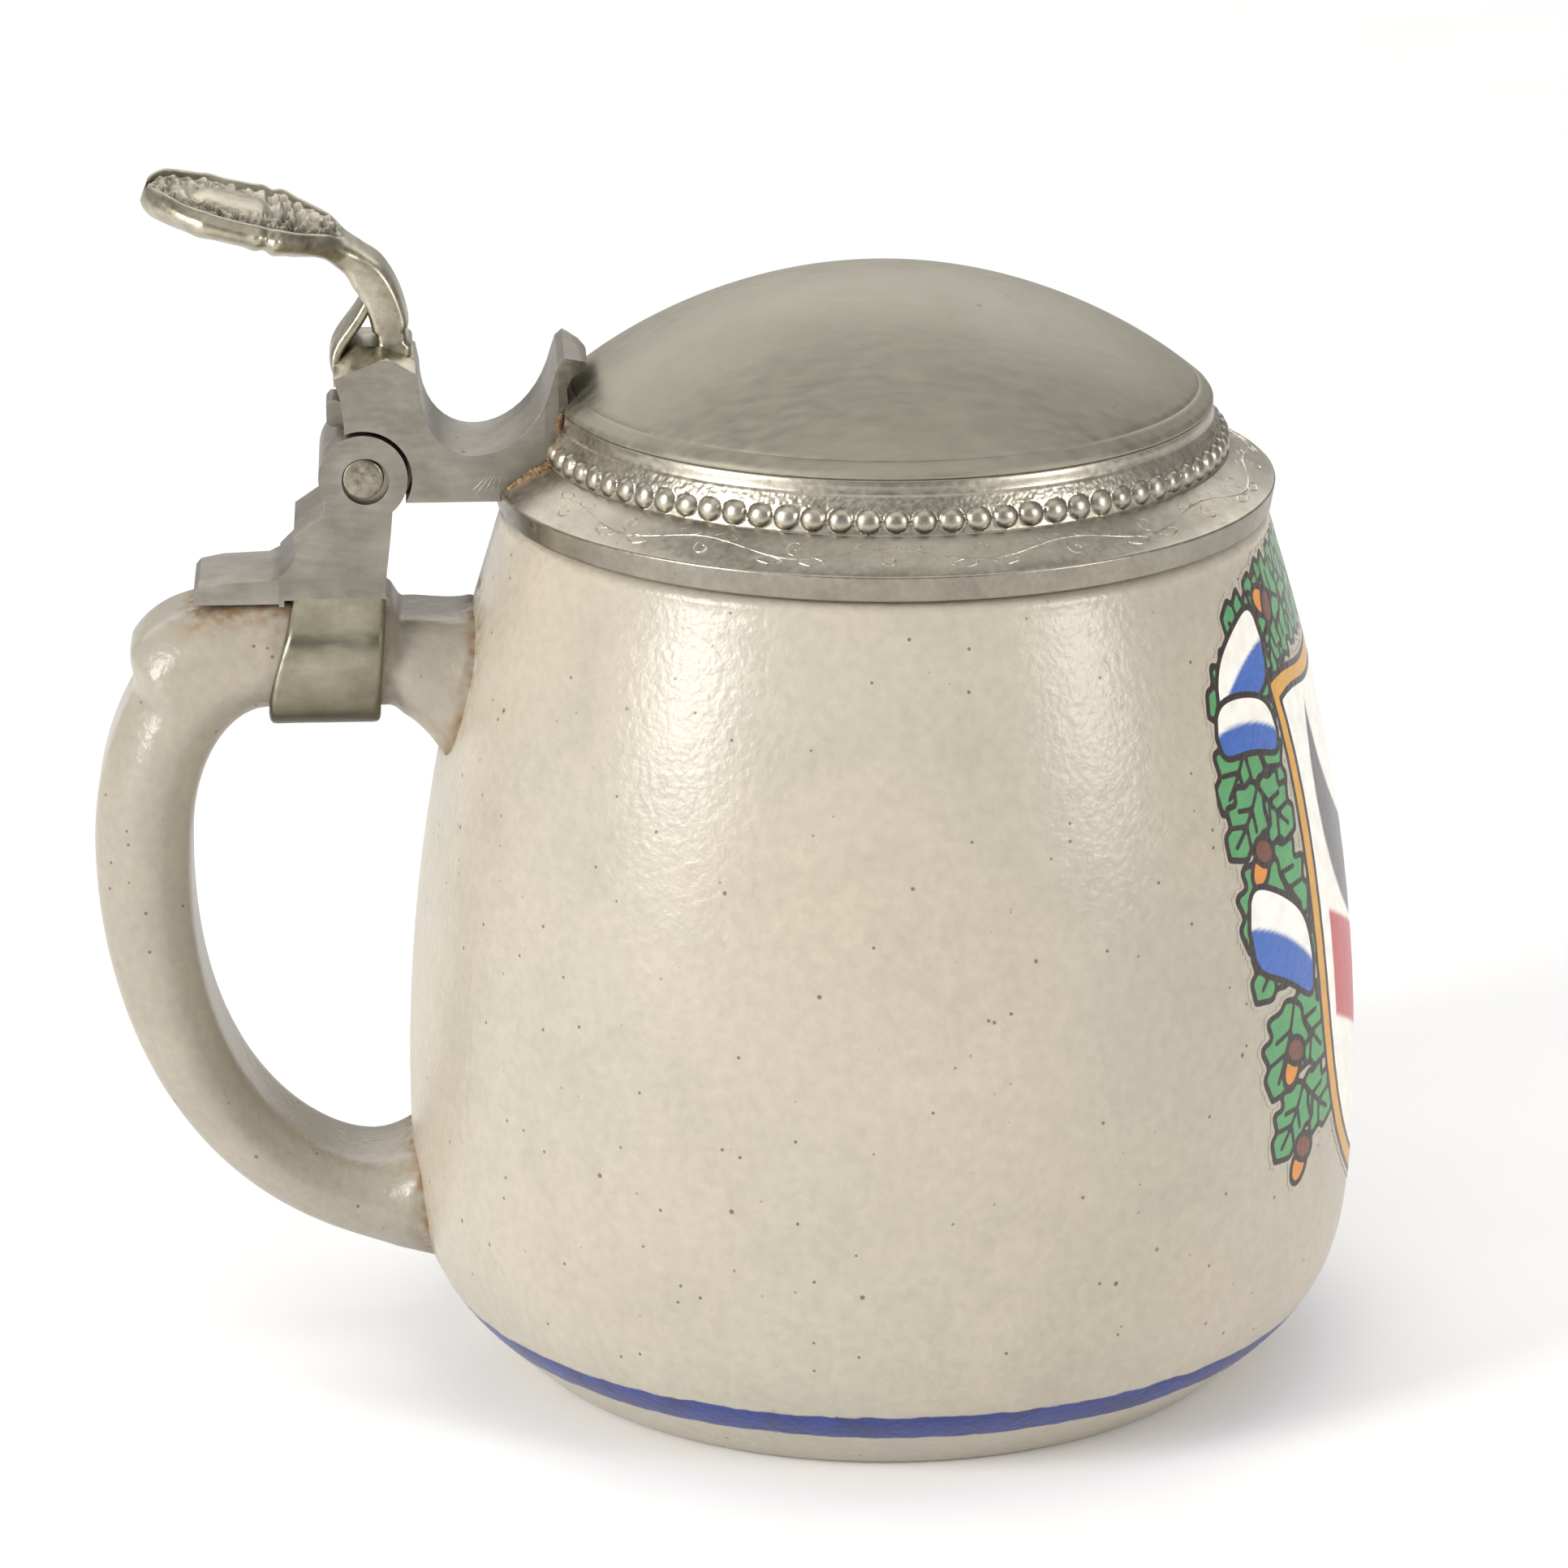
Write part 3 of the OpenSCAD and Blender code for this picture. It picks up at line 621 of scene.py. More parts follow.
class MUG_OT_lid_rim(Operator):
    """Cast lid rim: turned edge, sloping flange, a row of beads and a grained band"""
    bl_idname = "mug.lid_rim"
    bl_label = "Lid rim"

    def execute(self, context):
        d = in_mm(context.scene.mug_lid_sizes)
        p = lid_places(d)
        columns = 16 * d.beads
        bead_low, bead_high = (p.flange_in - 0.1, p.flange_z + 0.15), (p.flange_in - 0.75, p.flange_z + 2.75)
        grain_top = (p.flange_in - 1.25, p.flange_z + 3.75)
        profile = joined(
            ((p.bore_r, p.lid_z), (p.rim_r - 0.75, p.lid_z), 3),
            arc((p.rim_r - 0.7, p.lid_z + 0.3), 0.3, -70, 0, 4),
            ((p.rim_r - 0.36, p.lid_z + 0.6), (p.rim_r - 0.02, p.rim_top - 0.35), 5),
            arc((p.rim_r - 0.3, p.rim_top - 0.3), 0.3, 10, 80, 4),
            ((p.rim_r - 0.45, p.rim_top + 0.07), (p.flange_in + 0.25, p.flange_z - 0.05), 5),
            [(p.flange_in + 0.1, p.flange_z - 0.12), (p.flange_in, p.flange_z - 0.02)],
            (bead_low, bead_high, 17),
            ((bead_high[0] - 0.02, bead_high[1] + 0.1), grain_top, 7),
            [(grain_top[0] - 0.05, grain_top[1] + 0.25)],
            bezier([(p.flange_in - 1.45, p.flange_z + 4.1), (p.seat_r + 0.02, p.seat_z - 0.9),
                    (p.seat_r + 0.02, p.seat_z - 0.35)], np.linspace(0, 1, 5)),
            [(p.seat_r - 0.1, p.seat_z), (p.seat_r - 1.9, p.seat_z), (p.bore_r, p.flange_z - 1.5)])
        grid = turned(profile, columns)
        angle = np.linspace(0, TURN, columns, endpoint=False)[None, :]
        chance = np.random.default_rng(7)
        number = (np.arange(columns) // 16)[None, :]
        size = (1 + 0.05 * chance.standard_normal(d.beads))[number]
        middle = (np.array(bead_low) + np.array(bead_high)) / 2
        slope = np.array(bead_high) - np.array(bead_low)
        slope /= np.linalg.norm(slope)
        up_wall = ((profile - middle) @ slope)[:, None]
        around = (angle * d.beads / TURN % 1 - 0.5) * TURN * middle[0] / d.beads
        off = np.hypot(around / (d.bead_r * 1.06), up_wall / (d.bead_r * size))
        between = (profile[:, 1:] > p.flange_z) & (profile[:, 1:] < grain_top[1] + 0.1)
        bead = 0.78 * np.sqrt(np.clip(1 - off ** 2, 0, 1)) * between
        grained = ease(profile[:, 1:], bead_low[1] + 0.3, bead_high[1] - 0.6) * between
        grain = 0.1 * grained * chance.random((len(profile), columns)) * (off > 1)
        worn = 0.02 * np.sin(9 * angle + 1) * np.sin(31 * angle) * (profile[:, :1] > p.flange_in)
        swell = bead + grain + worn
        grid[..., 0] += swell * np.cos(angle) * slope[1]
        grid[..., 1] += swell * np.sin(angle) * slope[1]
        grid[..., 2] += swell * -slope[0]
        # Painted shade: a dark ring round each bead, a dark crease at the foot of the beaded wall, and the
        # whole outer edge darkened.
        painted_shade = np.clip((1.25 - off) / 0.25, 0, 1) * (off > 0.95) * between
        painted_shade = np.maximum(painted_shade, soil_and_painted_shade_beside(abs(profile[:, 1:] - p.flange_z + 0.05), 0.12)
                            * (abs(profile[:, :1] - p.flange_in) < 0.4) * np.ones_like(angle))
        painted_shade = np.maximum(painted_shade, 0.8 * (profile[:, 1:] < p.rim_top - 0.1) * np.ones_like(angle))
        arm_half = (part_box("lid_arm")[1].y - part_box("lid_arm")[0].y) / 2 / MM
        beside = np.maximum(0, np.abs(grid[..., 1]) - arm_half)
        soil = soil_and_painted_shade_beside(beside, 1.7) * (grid[..., 0] < 0) * (profile[:, 1:] > p.rim_top)
        add_piece("lid_rim_casting", grid, grid_faces(len(profile), columns, rows_closed=True),
                  rim_pewter(context), "lid", "lid_rim", sharp=50,
                  marks={"painted_shade": painted_shade, "soil": soil})
        return {"FINISHED"}


def engraved_strips(places, across, rise, half_w, height):
    """Ridged strips along many lines at once: a three-sided bar whose crest stands proud."""
    along = np.gradient(places, axis=1)
    side = np.cross(along, across)
    side /= np.linalg.norm(side, axis=-1, keepdims=True)
    taper = np.sin(np.linspace(0.12, math.pi - 0.12, places.shape[1]))[None, :, None] ** 0.4
    left = places - side * half_w * taper - across * rise
    right = places + side * half_w * taper - across * rise
    crest = places + across * height * taper
    bars = np.stack([left, crest, right], 2)
    return bars


class MUG_OT_lid_engraving(Operator):
    """Engraved scroll of tendrils and leaves on the lid's flange"""
    bl_idname = "mug.lid_engraving"
    bl_label = "Flange engraving"

    def execute(self, context):
        d = in_mm(context.scene.mug_lid_sizes)
        p = lid_places(d)
        outer, inner = np.array([p.rim_r - 0.3, p.rim_top]), np.array([p.flange_in, p.flange_z])
        slope = (inner - outer) / np.linalg.norm(inner - outer)
        middle = (outer + inner) / 2
        waves = 25
        step = TURN / waves
        free = math.asin(8.6 / middle[0])
        starts = np.arange(waves) * step
        facing_arm = np.abs((starts + step / 2) % TURN - math.pi) < free + step * 0.55
        starts = starts[~facing_arm]
        t = np.linspace(0, 1, 26)
        flip = np.where(np.arange(len(starts)) % 2, 1.0, -1.0)[:, None]
        pitch = step * middle[0]

        def on_flange(run, lift):
            """Points from a run along each wave and a lift across the flange, in millimetres."""
            angle = starts[:, None] + run / middle[0]
            r = middle[0] + lift * slope[0]
            z = middle[1] + lift * slope[1]
            return np.stack([r * np.cos(angle), r * np.sin(angle), z + 0 * angle], -1)

        def wound(centre_run, centre_lift, radius, turns, start):
            """A tendril that winds inwards: its radius falls evenly as it turns."""
            a = start + turns * TURN * t[None, :]
            r = radius * (1 - 0.8 * t[None, :])
            return on_flange(centre_run + r * np.cos(a), flip * (centre_lift + r * np.sin(a)))

        stem = on_flange(pitch * t[None, :] * np.ones_like(flip), flip * 0.95 * np.sin(math.pi * t)[None, :])
        curl = wound(pitch * 0.52, -0.7, 1.15, 1.1, math.pi / 2)
        leaves = [on_flange(pitch * (place + 0.16 * np.sin(math.pi * t) * lean)[None, :] * np.ones_like(flip),
                            flip * (base + reach * t)[None, :])
                  for place, lean, base, reach in ((0.28, 0.8, 0.75, 1.2), (0.28, -0.8, 0.75, 1.2),
                                                   (0.72, 0.8, 0.6, 1.3), (0.72, -0.8, 0.6, 1.3))]
        lines = np.concatenate([stem, curl] + leaves)
        radial = lines * (1, 1, 0)
        radial /= np.linalg.norm(radial, axis=-1, keepdims=True)
        across = radial * slope[1] - np.array([0, 0, 1]) * slope[0]
        bars = engraved_strips(lines, across, 0.06, 0.28, 0.1)
        parts = [(closed_ends(bar), grid_faces(len(t) + 2, 3)) for bar in bars]
        points, faces = stacked(parts)
        add_piece("flange_scroll", points, faces, cut_pewter_with_painted_highlight(context), "lid", sharp=30)
        return {"FINISHED"}


class MUG_OT_lid_dome(Operator):
    """Turned dome with its engraved lines, and the ring that locates the lid in the mouth"""
    bl_idname = "mug.lid_dome"
    bl_label = "Lid dome and locating ring"

    def execute(self, context):
        d = in_mm(context.scene.mug_lid_sizes)
        p = lid_places(d)
        centre = (0, p.apex_z - p.sphere_r)
        edge = math.degrees(math.asin(p.seat_r / p.sphere_r))
        r = np.concatenate([np.linspace(p.seat_r - 0.3, d.line_r + 0.5, 6),
                            d.line_r + np.array([0.26, 0.12, 0, -0.12, -0.26]),
                            np.linspace(d.line_r - 0.6, 0, 60)])
        groove = 0.13 * np.maximum(0, 1 - np.abs(r - d.line_r) / 0.26)
        sway = 0.05 * np.sin(r / 5.2)
        outside = np.stack([r, centre[1] + np.sqrt(p.sphere_r ** 2 - r ** 2) - groove + sway * (r < 34)], -1)
        inner_r = p.sphere_r - d.dome_t
        inner_end = math.degrees(math.acos((p.seat_z - centre[1]) / inner_r))
        lip = [(p.seat_r, p.seat_z), (p.seat_r, p.seat_z + 0.12), (p.seat_r - 0.16, p.seat_z + 0.2),
               (p.seat_r - 0.02, p.seat_z + 0.3), (p.seat_r, p.edge_z - 0.2), (p.seat_r - 0.12, p.edge_z)]
        inside = arc(centre, inner_r, 90, 90 - inner_end, 40)
        profile = np.concatenate([lip, outside, inside])
        add_piece("lid_dome_panel", turned(profile, 256), grid_faces(len(profile), 256, rows_closed=True),
                  dome_pewter(context), "lid", "lid_dome", sharp=24)
        low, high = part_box("lid_locating_ring")
        outer_r, bottom, top = high.x / MM, low.z / MM, high.z / MM
        ring_t = 1.5
        ring = joined(arc((outer_r - 0.4, bottom + 0.4), 0.4, -90, 0, 6),
                      [(outer_r, top), (outer_r - ring_t, top)],
                      arc((outer_r - ring_t + 0.4, bottom + 0.4), 0.4, 180, 270, 6))
        add_piece("locating_ring", turned(ring, 192), grid_faces(len(ring), 192, rows_closed=True),
                  turned_pewter(context), "lid", "lid_locating_ring")
        return {"FINISHED"}


def soil_rope(line, thickness, seed):
    """A lumpy rope of soil along a line: rings whose radius wanders as smoothed chance."""
    chance = np.random.default_rng(seed)
    t = np.linspace(0, len(line) - 1, 70)
    path = np.stack([np.interp(t, np.arange(len(line)), np.asarray(line, float)[:, k]) for k in range(3)], -1)
    along = np.gradient(path, axis=0)
    along /= np.linalg.norm(along, axis=1)[:, None]
    side = np.cross(along, (0, 0, 1.0))
    side /= np.linalg.norm(side, axis=1)[:, None]
    up = np.cross(side, along)
    q = np.linspace(0, TURN, 12, endpoint=False)
    rough = chance.random((70, 12))
    rough = (rough + np.roll(rough, 1, 0) + np.roll(rough, 1, 1)) / 3
    ends = np.sin(np.linspace(0.15, math.pi - 0.15, 70))[:, None] ** 0.5
    r = thickness * ends * (0.45 + 0.9 * rough)
    return path[:, None, :] + side[:, None, :] * (r * np.cos(q))[..., None] + up[:, None, :] * (
        r * np.sin(q))[..., None]


class MUG_OT_lid_arm(Operator):
    """Cast arm from the hinge to the lid, with the soil left in its soldered joint"""
    bl_idname = "mug.lid_arm"
    bl_label = "Lid arm"

    def execute(self, context):
        d = in_mm(context.scene.mug_lid_sizes)
        p = lid_places(d)
        arm = worn_copy("lid_arm", "lid_arm_casting", filed_pewter(context, "Filed pewter lid arm"), 0.3, 1.6)
        half = (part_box("lid_arm")[1].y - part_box("lid_arm")[0].y) / 2 / MM
        stops = [(p.rim_r - 0.9, p.rim_top + 0.25), (p.rim_r - 3.2, p.rim_top + 1.5),
                 (p.flange_in, p.flange_z + 0.2), (p.flange_in - 0.7, p.flange_z + 2.3)]
        parts = []
        for side, seed in ((-1, 3), (1, 5)):
            line = [(-math.sqrt(r * r - half * half), side * (half + 0.05), z) for r, z in stops]
            rings = closed_ends(soil_rope(line, 0.7, seed))
            parts.append((rings, grid_faces(*rings.shape[:2])))
        for side in (-1, 1):
            edge_x = -math.sqrt((p.seat_r + 0.3) ** 2 - half * half)
            line = [(edge_x - 0.2 * k, side * (half - 0.2), p.seat_z + 0.4 - 0.9 * k) for k in range(3)]
            rings = closed_ends(soil_rope(line, 0.42, 11 + side))
            parts.append((rings, grid_faces(*rings.shape[:2])))
        points, faces = stacked(parts)
        add_piece("solder_soil", points, faces, dried_soil(context), "lid", sharp=60)
        t = np.linspace(0, 1, 8)[None, :]
        foot = np.linspace(-47.2, -43.9, 5)[:, None]
        root = np.linspace(-45.0, -43.5, 5)[:, None]
        marks = []
        for side in (-1, 1):
            lines = np.stack([root + (foot - root) * t, side * (half + 0.01) + 0 * (foot + t),
                              106.0 - 2.2 * t + 0 * foot], -1)
            marks += [(closed_ends(bar), grid_faces(10, 3))
                      for bar in engraved_strips(lines, np.array([0, side, 0.0]), 0.05, 0.08, 0.03)]
        points, faces = stacked(marks)
        add_piece("arm_file_marks", points, faces, cut_pewter_with_painted_highlight(context), "lid", sharp=30)
        return {"FINISHED"}


def lift_line(s):
    """Middle line of the thumblift at places s: the leg from 0 to 12, then the leaf to 36."""
    foot, top, tip = (3.6, 10.9), (-1.6, 24.4), (-23.4, 32.2)
    leg = bezier([foot, (3.9, 17.2), (2.4, 21.7), top], s[s <= 12] / 12)
    leaf = bezier([top, (-6.6, 28.7), (-14.1, 28.2), tip], (s[s > 12] - 12) / 24)
    return np.concatenate([leg, leaf])


def lift_relief(s, across, half_w, k):
    """Height of the cast relief on the leaf's upper side.

    A rolled edge, a groove inside it, overlapping feathers that sweep back from the
    middle, and an oval boss with a beaded border.
    """
    leaf = ease(s, 13, 16)
    u = np.abs(across) / half_w
    from_edge = half_w - np.abs(across)
    rolled = 0.55 * np.sin(math.pi * np.clip(from_edge / k.rim_w, 0, 1)) ** 0.8
    groove = -0.35 * np.exp(-((from_edge - k.rim_w - 0.1) / 0.45) ** 2)
    sweep = s * 0.2 + 3.4 * u + 0.25 * np.sin(s * 0.9)
    feather = 0.7 * (sweep % 1) ** 0.8 * ease(from_edge, k.rim_w, k.rim_w + 0.8)
    barbs = 0.16 * np.sin(TURN * (s * 0.62 - 1.2 * u)) * ease(from_edge, k.rim_w, k.rim_w + 0.8)
    boss_s, boss_len, boss_w = 27.2, 4.6, 5.0
    off = np.hypot((s - boss_s) / boss_len, across / boss_w)
    turn = np.arctan2(across / boss_w, (s - boss_s) / boss_len)
    boss = 1.3 * np.sqrt(np.clip(1 - off ** 2, 0, 1))
    border = 0.45 * np.exp(-((off - 1.16) / 0.1) ** 2) * (0.6 + 0.4 * np.cos(18 * turn))
    outside = ease(off, 1.0, 1.3)
    height = (feather + barbs) * outside + boss + border + 0.25 * (1 - outside)
    return leaf * (height * ease(from_edge, k.rim_w - 0.6, k.rim_w + 0.3) + rolled + groove)


class MUG_OT_thumblift(Operator):
    """Cast thumblift: a leaf with feathers and an oval boss, on a leg and a thin rear stay"""
    bl_idname = "mug.thumblift"
    bl_label = "Thumblift"

    def execute(self, context):
        k = in_mm(context.scene.mug_thumblift_sizes)
        s = np.concatenate([np.linspace(0, 12, 50), np.linspace(12.15, 36, 170)])
        line = lift_line(s)
        along = np.gradient(line, s, axis=0)
        along /= np.linalg.norm(along, axis=1)[:, None]
        up = np.stack([along[:, 1], -along[:, 0]], -1)
        belly = ease(s, 10.5, 23) * np.sqrt(1 - np.clip((s - 25.5) / 10.9, 0, 1) ** 2)
        half_w = k.leg_half_w + (k.leaf_half_w - k.leg_half_w) * belly - 1.2 * ease(s, 32, 36)
        swells = ((0.45, 21.6, 1.1), (0.3, 24.2, 0.8), (-0.35, 22.9, 0.6), (0.35, 30.2, 1.0))
        lumps = sum(size * np.exp(-((s - at) / wide) ** 2) for size, at, wide in swells)
        half_w = half_w + lumps - 0.45
        half_t = k.leg_t / 2 + (k.leaf_t - k.leg_t) / 2 * ease(s, 8, 16) + 0.5 * lumps
        tip = np.sqrt(1 - np.clip((s - 34.4) / 1.7, 0, 0.97) ** 2)
        half_t, half_w = half_t * tip, half_w * (0.45 + 0.55 * tip)
        q = np.linspace(0, TURN, 112, endpoint=False)
        square = (0.4 + 0.3 * ease(s, 8, 14))[:, None]
        y = half_w[:, None] * np.sign(np.cos(q)) * np.abs(np.cos(q)) ** square
        t = half_t[:, None] * np.sign(np.sin(q)) * np.abs(np.sin(q)) ** square
        relief = lift_relief(s[:, None], y, half_w[:, None], k)
        upper = ease(np.sin(q), 0.05, 0.5)
        dish = -1.3 * (1 - (y / half_w[:, None]) ** 2) * ease(s, 14, 20)[:, None]
        t = t + relief * upper + dish
        band = 0.4 * (ease(s, 1.2, 1.5) - ease(s, 2.2, 2.5)) + 0.3 * (ease(s, 3.4, 3.7) - ease(s, 9, 11))
        t = t + band[:, None] * np.sign(t) * (np.abs(np.cos(q)) < 0.99)
        y = y * (1 + 0.05 * band[:, None])
        rings = np.stack([HINGE[0] + line[:, :1] + up[:, :1] * t, y + 0 * t,
                          HINGE[2] + line[:, 1:] + up[:, 1:] * t], -1)
        # Painted shade: the low places of the leaf's upper relief are darkened.
        depth = np.clip((0.62 - relief) / 0.5, 0, 1) * upper * ease(s, 13, 16)[:, None]
        rings = closed_ends(rings)
        painted_shade = np.concatenate([depth[:1], depth, depth[-1:]])
        parts = [(rings, grid_faces(*rings.shape[:2]))]
        v = np.linspace(0, 1, 40)
        stay = bezier([(-2.6, 11.2), (-3.9, 14.6), (0.4, 15.8), (1.6, 21.4)], v)
        run = np.gradient(stay, axis=0)
        run /= np.linalg.norm(run, axis=1)[:, None]
        normal = np.stack([run[:, 1], -run[:, 0]], -1)
        w = np.linspace(0, TURN, 32, endpoint=False)
        thick = (0.6 + 0.2 * np.sin(math.pi * v))[:, None] * np.sign(np.sin(w)) * np.abs(np.sin(w)) ** 0.7
        wide = (4.3 - 0.8 * v)[:, None] * np.sign(np.cos(w)) * np.abs(np.cos(w)) ** 0.4
        stay_rings = np.stack([HINGE[0] + stay[:, :1] + normal[:, :1] * thick, wide,
                               HINGE[2] + stay[:, 1:] + normal[:, 1:] * thick], -1)
        stay_rings = closed_ends(stay_rings)
        parts.append((stay_rings, grid_faces(*stay_rings.shape[:2])))
        roof = gable_roof()
        parts.append(roof)
        points, faces = stacked(parts)
        painted_shade = np.concatenate([painted_shade.ravel(), np.zeros(stay_rings.size // 3 + len(roof[0]))])
        add_piece("thumblift_casting", points, faces, thumblift_pewter(context),
                  "lid", "thumblift", sharp=50, marks={"painted_shade": painted_shade})
        return {"FINISHED"}


def gable_roof():
    """The hipped foot of the thumblift: it rises from the arm's gable to a narrow flat ridge."""
    low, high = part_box("lid_arm")[0].y / MM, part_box("lid_arm")[1].y / MM
    half = (high - low) / 2 - 0.05
    y = np.array([-half, -half, -half * 0.62, -half * 0.56, half * 0.56, half * 0.62, half, half])
    lift = np.array([-0.4, 0.0, 1.0, 1.0, 1.0, 1.0, 0.0, -0.4])[:, None]
    x = np.concatenate([np.linspace(-3.05, 2.9, 8), np.linspace(2.9, 6.05, 6)[1:]])
    gable = np.interp(x, [-3.1, 2.9, 6.1], [11.5, 13.9, 12.0])
    ridge = np.interp(x, [-3.1, -0.6, 2.0, 5.3, 6.1], [12.1, 14.5, 14.5, 13.2, 12.6])
    top = gable[None, :] + np.clip(lift, 0, 1) * np.maximum(0, ridge - gable)[None, :] + np.minimum(lift, 0)
    base = np.broadcast_to(gable - 0.9, top.shape)
    rows = len(y)
    ring_x = np.concatenate([x, x[::-1]])
    z = np.concatenate([top, base[:, ::-1]], 1)
    points = np.stack([np.broadcast_to(HINGE[0] + ring_x, z.shape), np.broadcast_to(y[:, None], z.shape),
                       HINGE[2] + z], -1)
    points = closed_ends(points)
    faces = grid_faces(rows + 2, len(ring_x))
    flat = points.reshape(-1, 3)
    return flat, outward(flat, faces)


# ---- operators: the painted front ----

# Radius that turns millimetres across the picture into an angle, the picture's grid, half of an outline
PAINT_R = 52.0
GRAIN = 0.35
LINE_HALF = 0.36
# Reach of the picture across and up, and how far the enamel stands on the stoneware
PICTURE_HALF_W = 42.9
PICTURE_LOW = 17.5
PICTURE_HIGH = 99.0
FILM_LIFT = 0.06
# The garland's stems, as the controls of curves, across and up from the middle of the foot
STEM_OVER = ((0, 92.5), (12, 93.5), (22, 93), (31, 90))
STEM_BESIDE = ((33, 90), (38, 76), (33, 58), (30, 31))
# The shield and its border, and the ribbons: half width and how far they sag
SHIELD_HALF_W = 26.5
SHIELD_TOP = 85.5
SHIELD_H = 66.0
BORDER_W = 2.4
BAND_HALF_W = 6.5
BAND_SAG = 1.2
# Each ribbon's place along the stem beside the shield, its half height, and how far it tilts
RIBBONS = ((0.04, 4.6, -3.0), (0.17, 3.2, 1.0), (0.62, 5.2, 3.6))
# Leaves along each stem: how many pairs, and a long leaf's length and half width
LEAVES_OVER = (6, (9.0, 3.8))
LEAVES_BESIDE = (7, (11.5, 4.3))
LEAF_BOW = 2.0
SHORT_LEAF = 0.84
# Degrees between the stem and a long leaf, a short leaf and an acorn
LONG_LEAF_TURN = 34
SHORT_LEAF_TURN = 46
ACORN_TURN = 35
VEIN_HALF = 0.3


def garland_place(stem, share):
    """Point on a stem and the direction in degrees in which the stem runs there."""
    here, ahead = bezier(np.array(stem, float), np.array([share, share + 0.01]))
    return here, np.degrees(np.arctan2(*(ahead - here)[::-1]))


def laid_out(base, angle, along, aside):
    """Places a shape drawn along one line: base + along (cos, sin) + aside (-sin, cos)."""
    turn = np.radians(angle)
    forward, left = np.array([np.cos(turn), np.sin(turn)]), np.array([-np.sin(turn), np.cos(turn)])
    return base + np.outer(along, forward) + np.outer(aside, left)


def oak_leaf(base, angle, length, half_w, bow):
    """Oak leaf: half width w sin(pi t^0.8)^0.7 (1 + 0.17 cos 7 pi t), its midrib bent by bow t (1 - t)."""
    t = np.linspace(0, 1, 34)
    half = half_w * np.sin(np.pi * t ** 0.8).clip(0) ** 0.7 * (1 + 0.17 * np.cos(7 * np.pi * t))
    rib = bow * t * (1 - t)
    return laid_out(base, angle, length * np.append(t, t[::-1]), np.append(rib + half, (rib - half)[::-1]))


def leaf_veins(base, angle, length, half_w, bow):
    """The midrib of a leaf and two pairs of side veins."""
    t = np.linspace(0.05, 0.82, 10)
    veins = [laid_out(base, angle, length * t, bow * t * (1 - t))]
    for start in (0.3, 0.52):
        for side in (-0.55, 0.55):
            rib = bow * start * (1 - start)
            veins.append(laid_out(base, angle, length * np.array([start, start + 0.16]),
                                  rib + np.array([0, side * half_w])))
    return veins


def oval(base, angle, ahead, half_l, half_w):
    """Ellipse whose middle lies ahead of the base."""
    q = np.linspace(0, 2 * np.pi, 25)[:-1]
    return laid_out(base, angle, ahead + half_l * np.cos(q), half_w * np.sin(q))


def crossing_band(middle, half_h, tilt, floor):
    """Ribbon over the garland: heights from floor to 1 of half_h (1 - s^6)^0.5, on a tilted, sagging line."""
    s = np.linspace(-1, 1, 27)
    line = middle[1] + tilt * s - BAND_SAG * s ** 2
    reach = half_h * np.sqrt(1 - s ** 6)
    x = middle[0] + BAND_HALF_W * s
    return np.concatenate([np.stack([x, line + reach], -1), np.stack([x, line + floor * reach], -1)[::-1]])


def shield_half(inset):
    """Half width w (1 - d^6)^0.6 + 1.5 (1 - d)^8 at a share d of the depth, under a gently waved top."""
    d = np.sin(np.linspace(0, np.pi / 2, 61))
    side = (SHIELD_HALF_W - inset) * (1 - d ** 6) ** 0.6 + 1.5 * (1 - d) ** 8
    side_z = SHIELD_TOP - inset - d * (SHIELD_H - 2 * inset)
    x = np.linspace(0, 1, 12)[:-1]
    top = np.stack([x * side[0], SHIELD_TOP - inset + 0.5 * np.sin(3 * np.pi * x) * x], -1)
    return np.concatenate([top, np.stack([side, side_z], -1)])


def crescent(middle_z, outer_r, thick, tip_angle):
    """Crescent, horns up: outer arc of radius R, inner arc of radius (c^2 + h^2) / 2h through both tips."""
    half = outer_r * np.cos(tip_angle)
    deep = outer_r - thick + outer_r * np.sin(tip_angle)
    inner_r = (half ** 2 + deep ** 2) / (2 * deep)
    inner_z = middle_z - outer_r + thick + inner_r
    q = np.linspace(-np.pi - tip_angle, tip_angle, 40)
    reach = np.arcsin(half / inner_r)
    w = np.linspace(reach, -reach, 30)
    outer = np.stack([outer_r * np.cos(q), middle_z + outer_r * np.sin(q)], -1)
    inner = np.stack([inner_r * np.sin(w), inner_z - inner_r * np.cos(w)], -1)
    return np.concatenate([outer, inner])


def chevron(half_w, foot_z, rise, thick):
    """Two bars that meet at the bottom: foot + rise |x| / half_w, over a thickness."""
    x = np.array([half_w, 0, -half_w])
    z = foot_z + rise * np.abs(x) / half_w
    return np.concatenate([np.stack([x, z], -1), np.stack([x, z - thick], -1)[::-1]])


def distance_to(line, x, z):
    """Distance from each place to a line of stretches: the least over a b of |p - a - (b - a) t|."""
    a, run = line[:-1], np.diff(line, axis=0)
    off = np.stack([x, z], -1)[:, None, :] - a
    t = np.clip((off * run).sum(-1) / np.maximum((run ** 2).sum(-1), 1e-12), 0, 1)
    return np.linalg.norm(off - run * t[..., None], axis=-1).min(1)


def inside(loop, x, z):
    """Whether each place lies in a closed line: a ray from it crosses the line an odd number of times."""
    a, b = loop[:-1], loop[1:]
    spans = (a[:, 1] > z[:, None]) != (b[:, 1] > z[:, None])
    rise = np.where(a[:, 1] == b[:, 1], 1, b[:, 1] - a[:, 1])
    crossing = a[:, 0] + (z[:, None] - a[:, 1]) / rise * (b[:, 0] - a[:, 0])
    return (spans & (x[:, None] < crossing)).sum(1) % 2 == 1


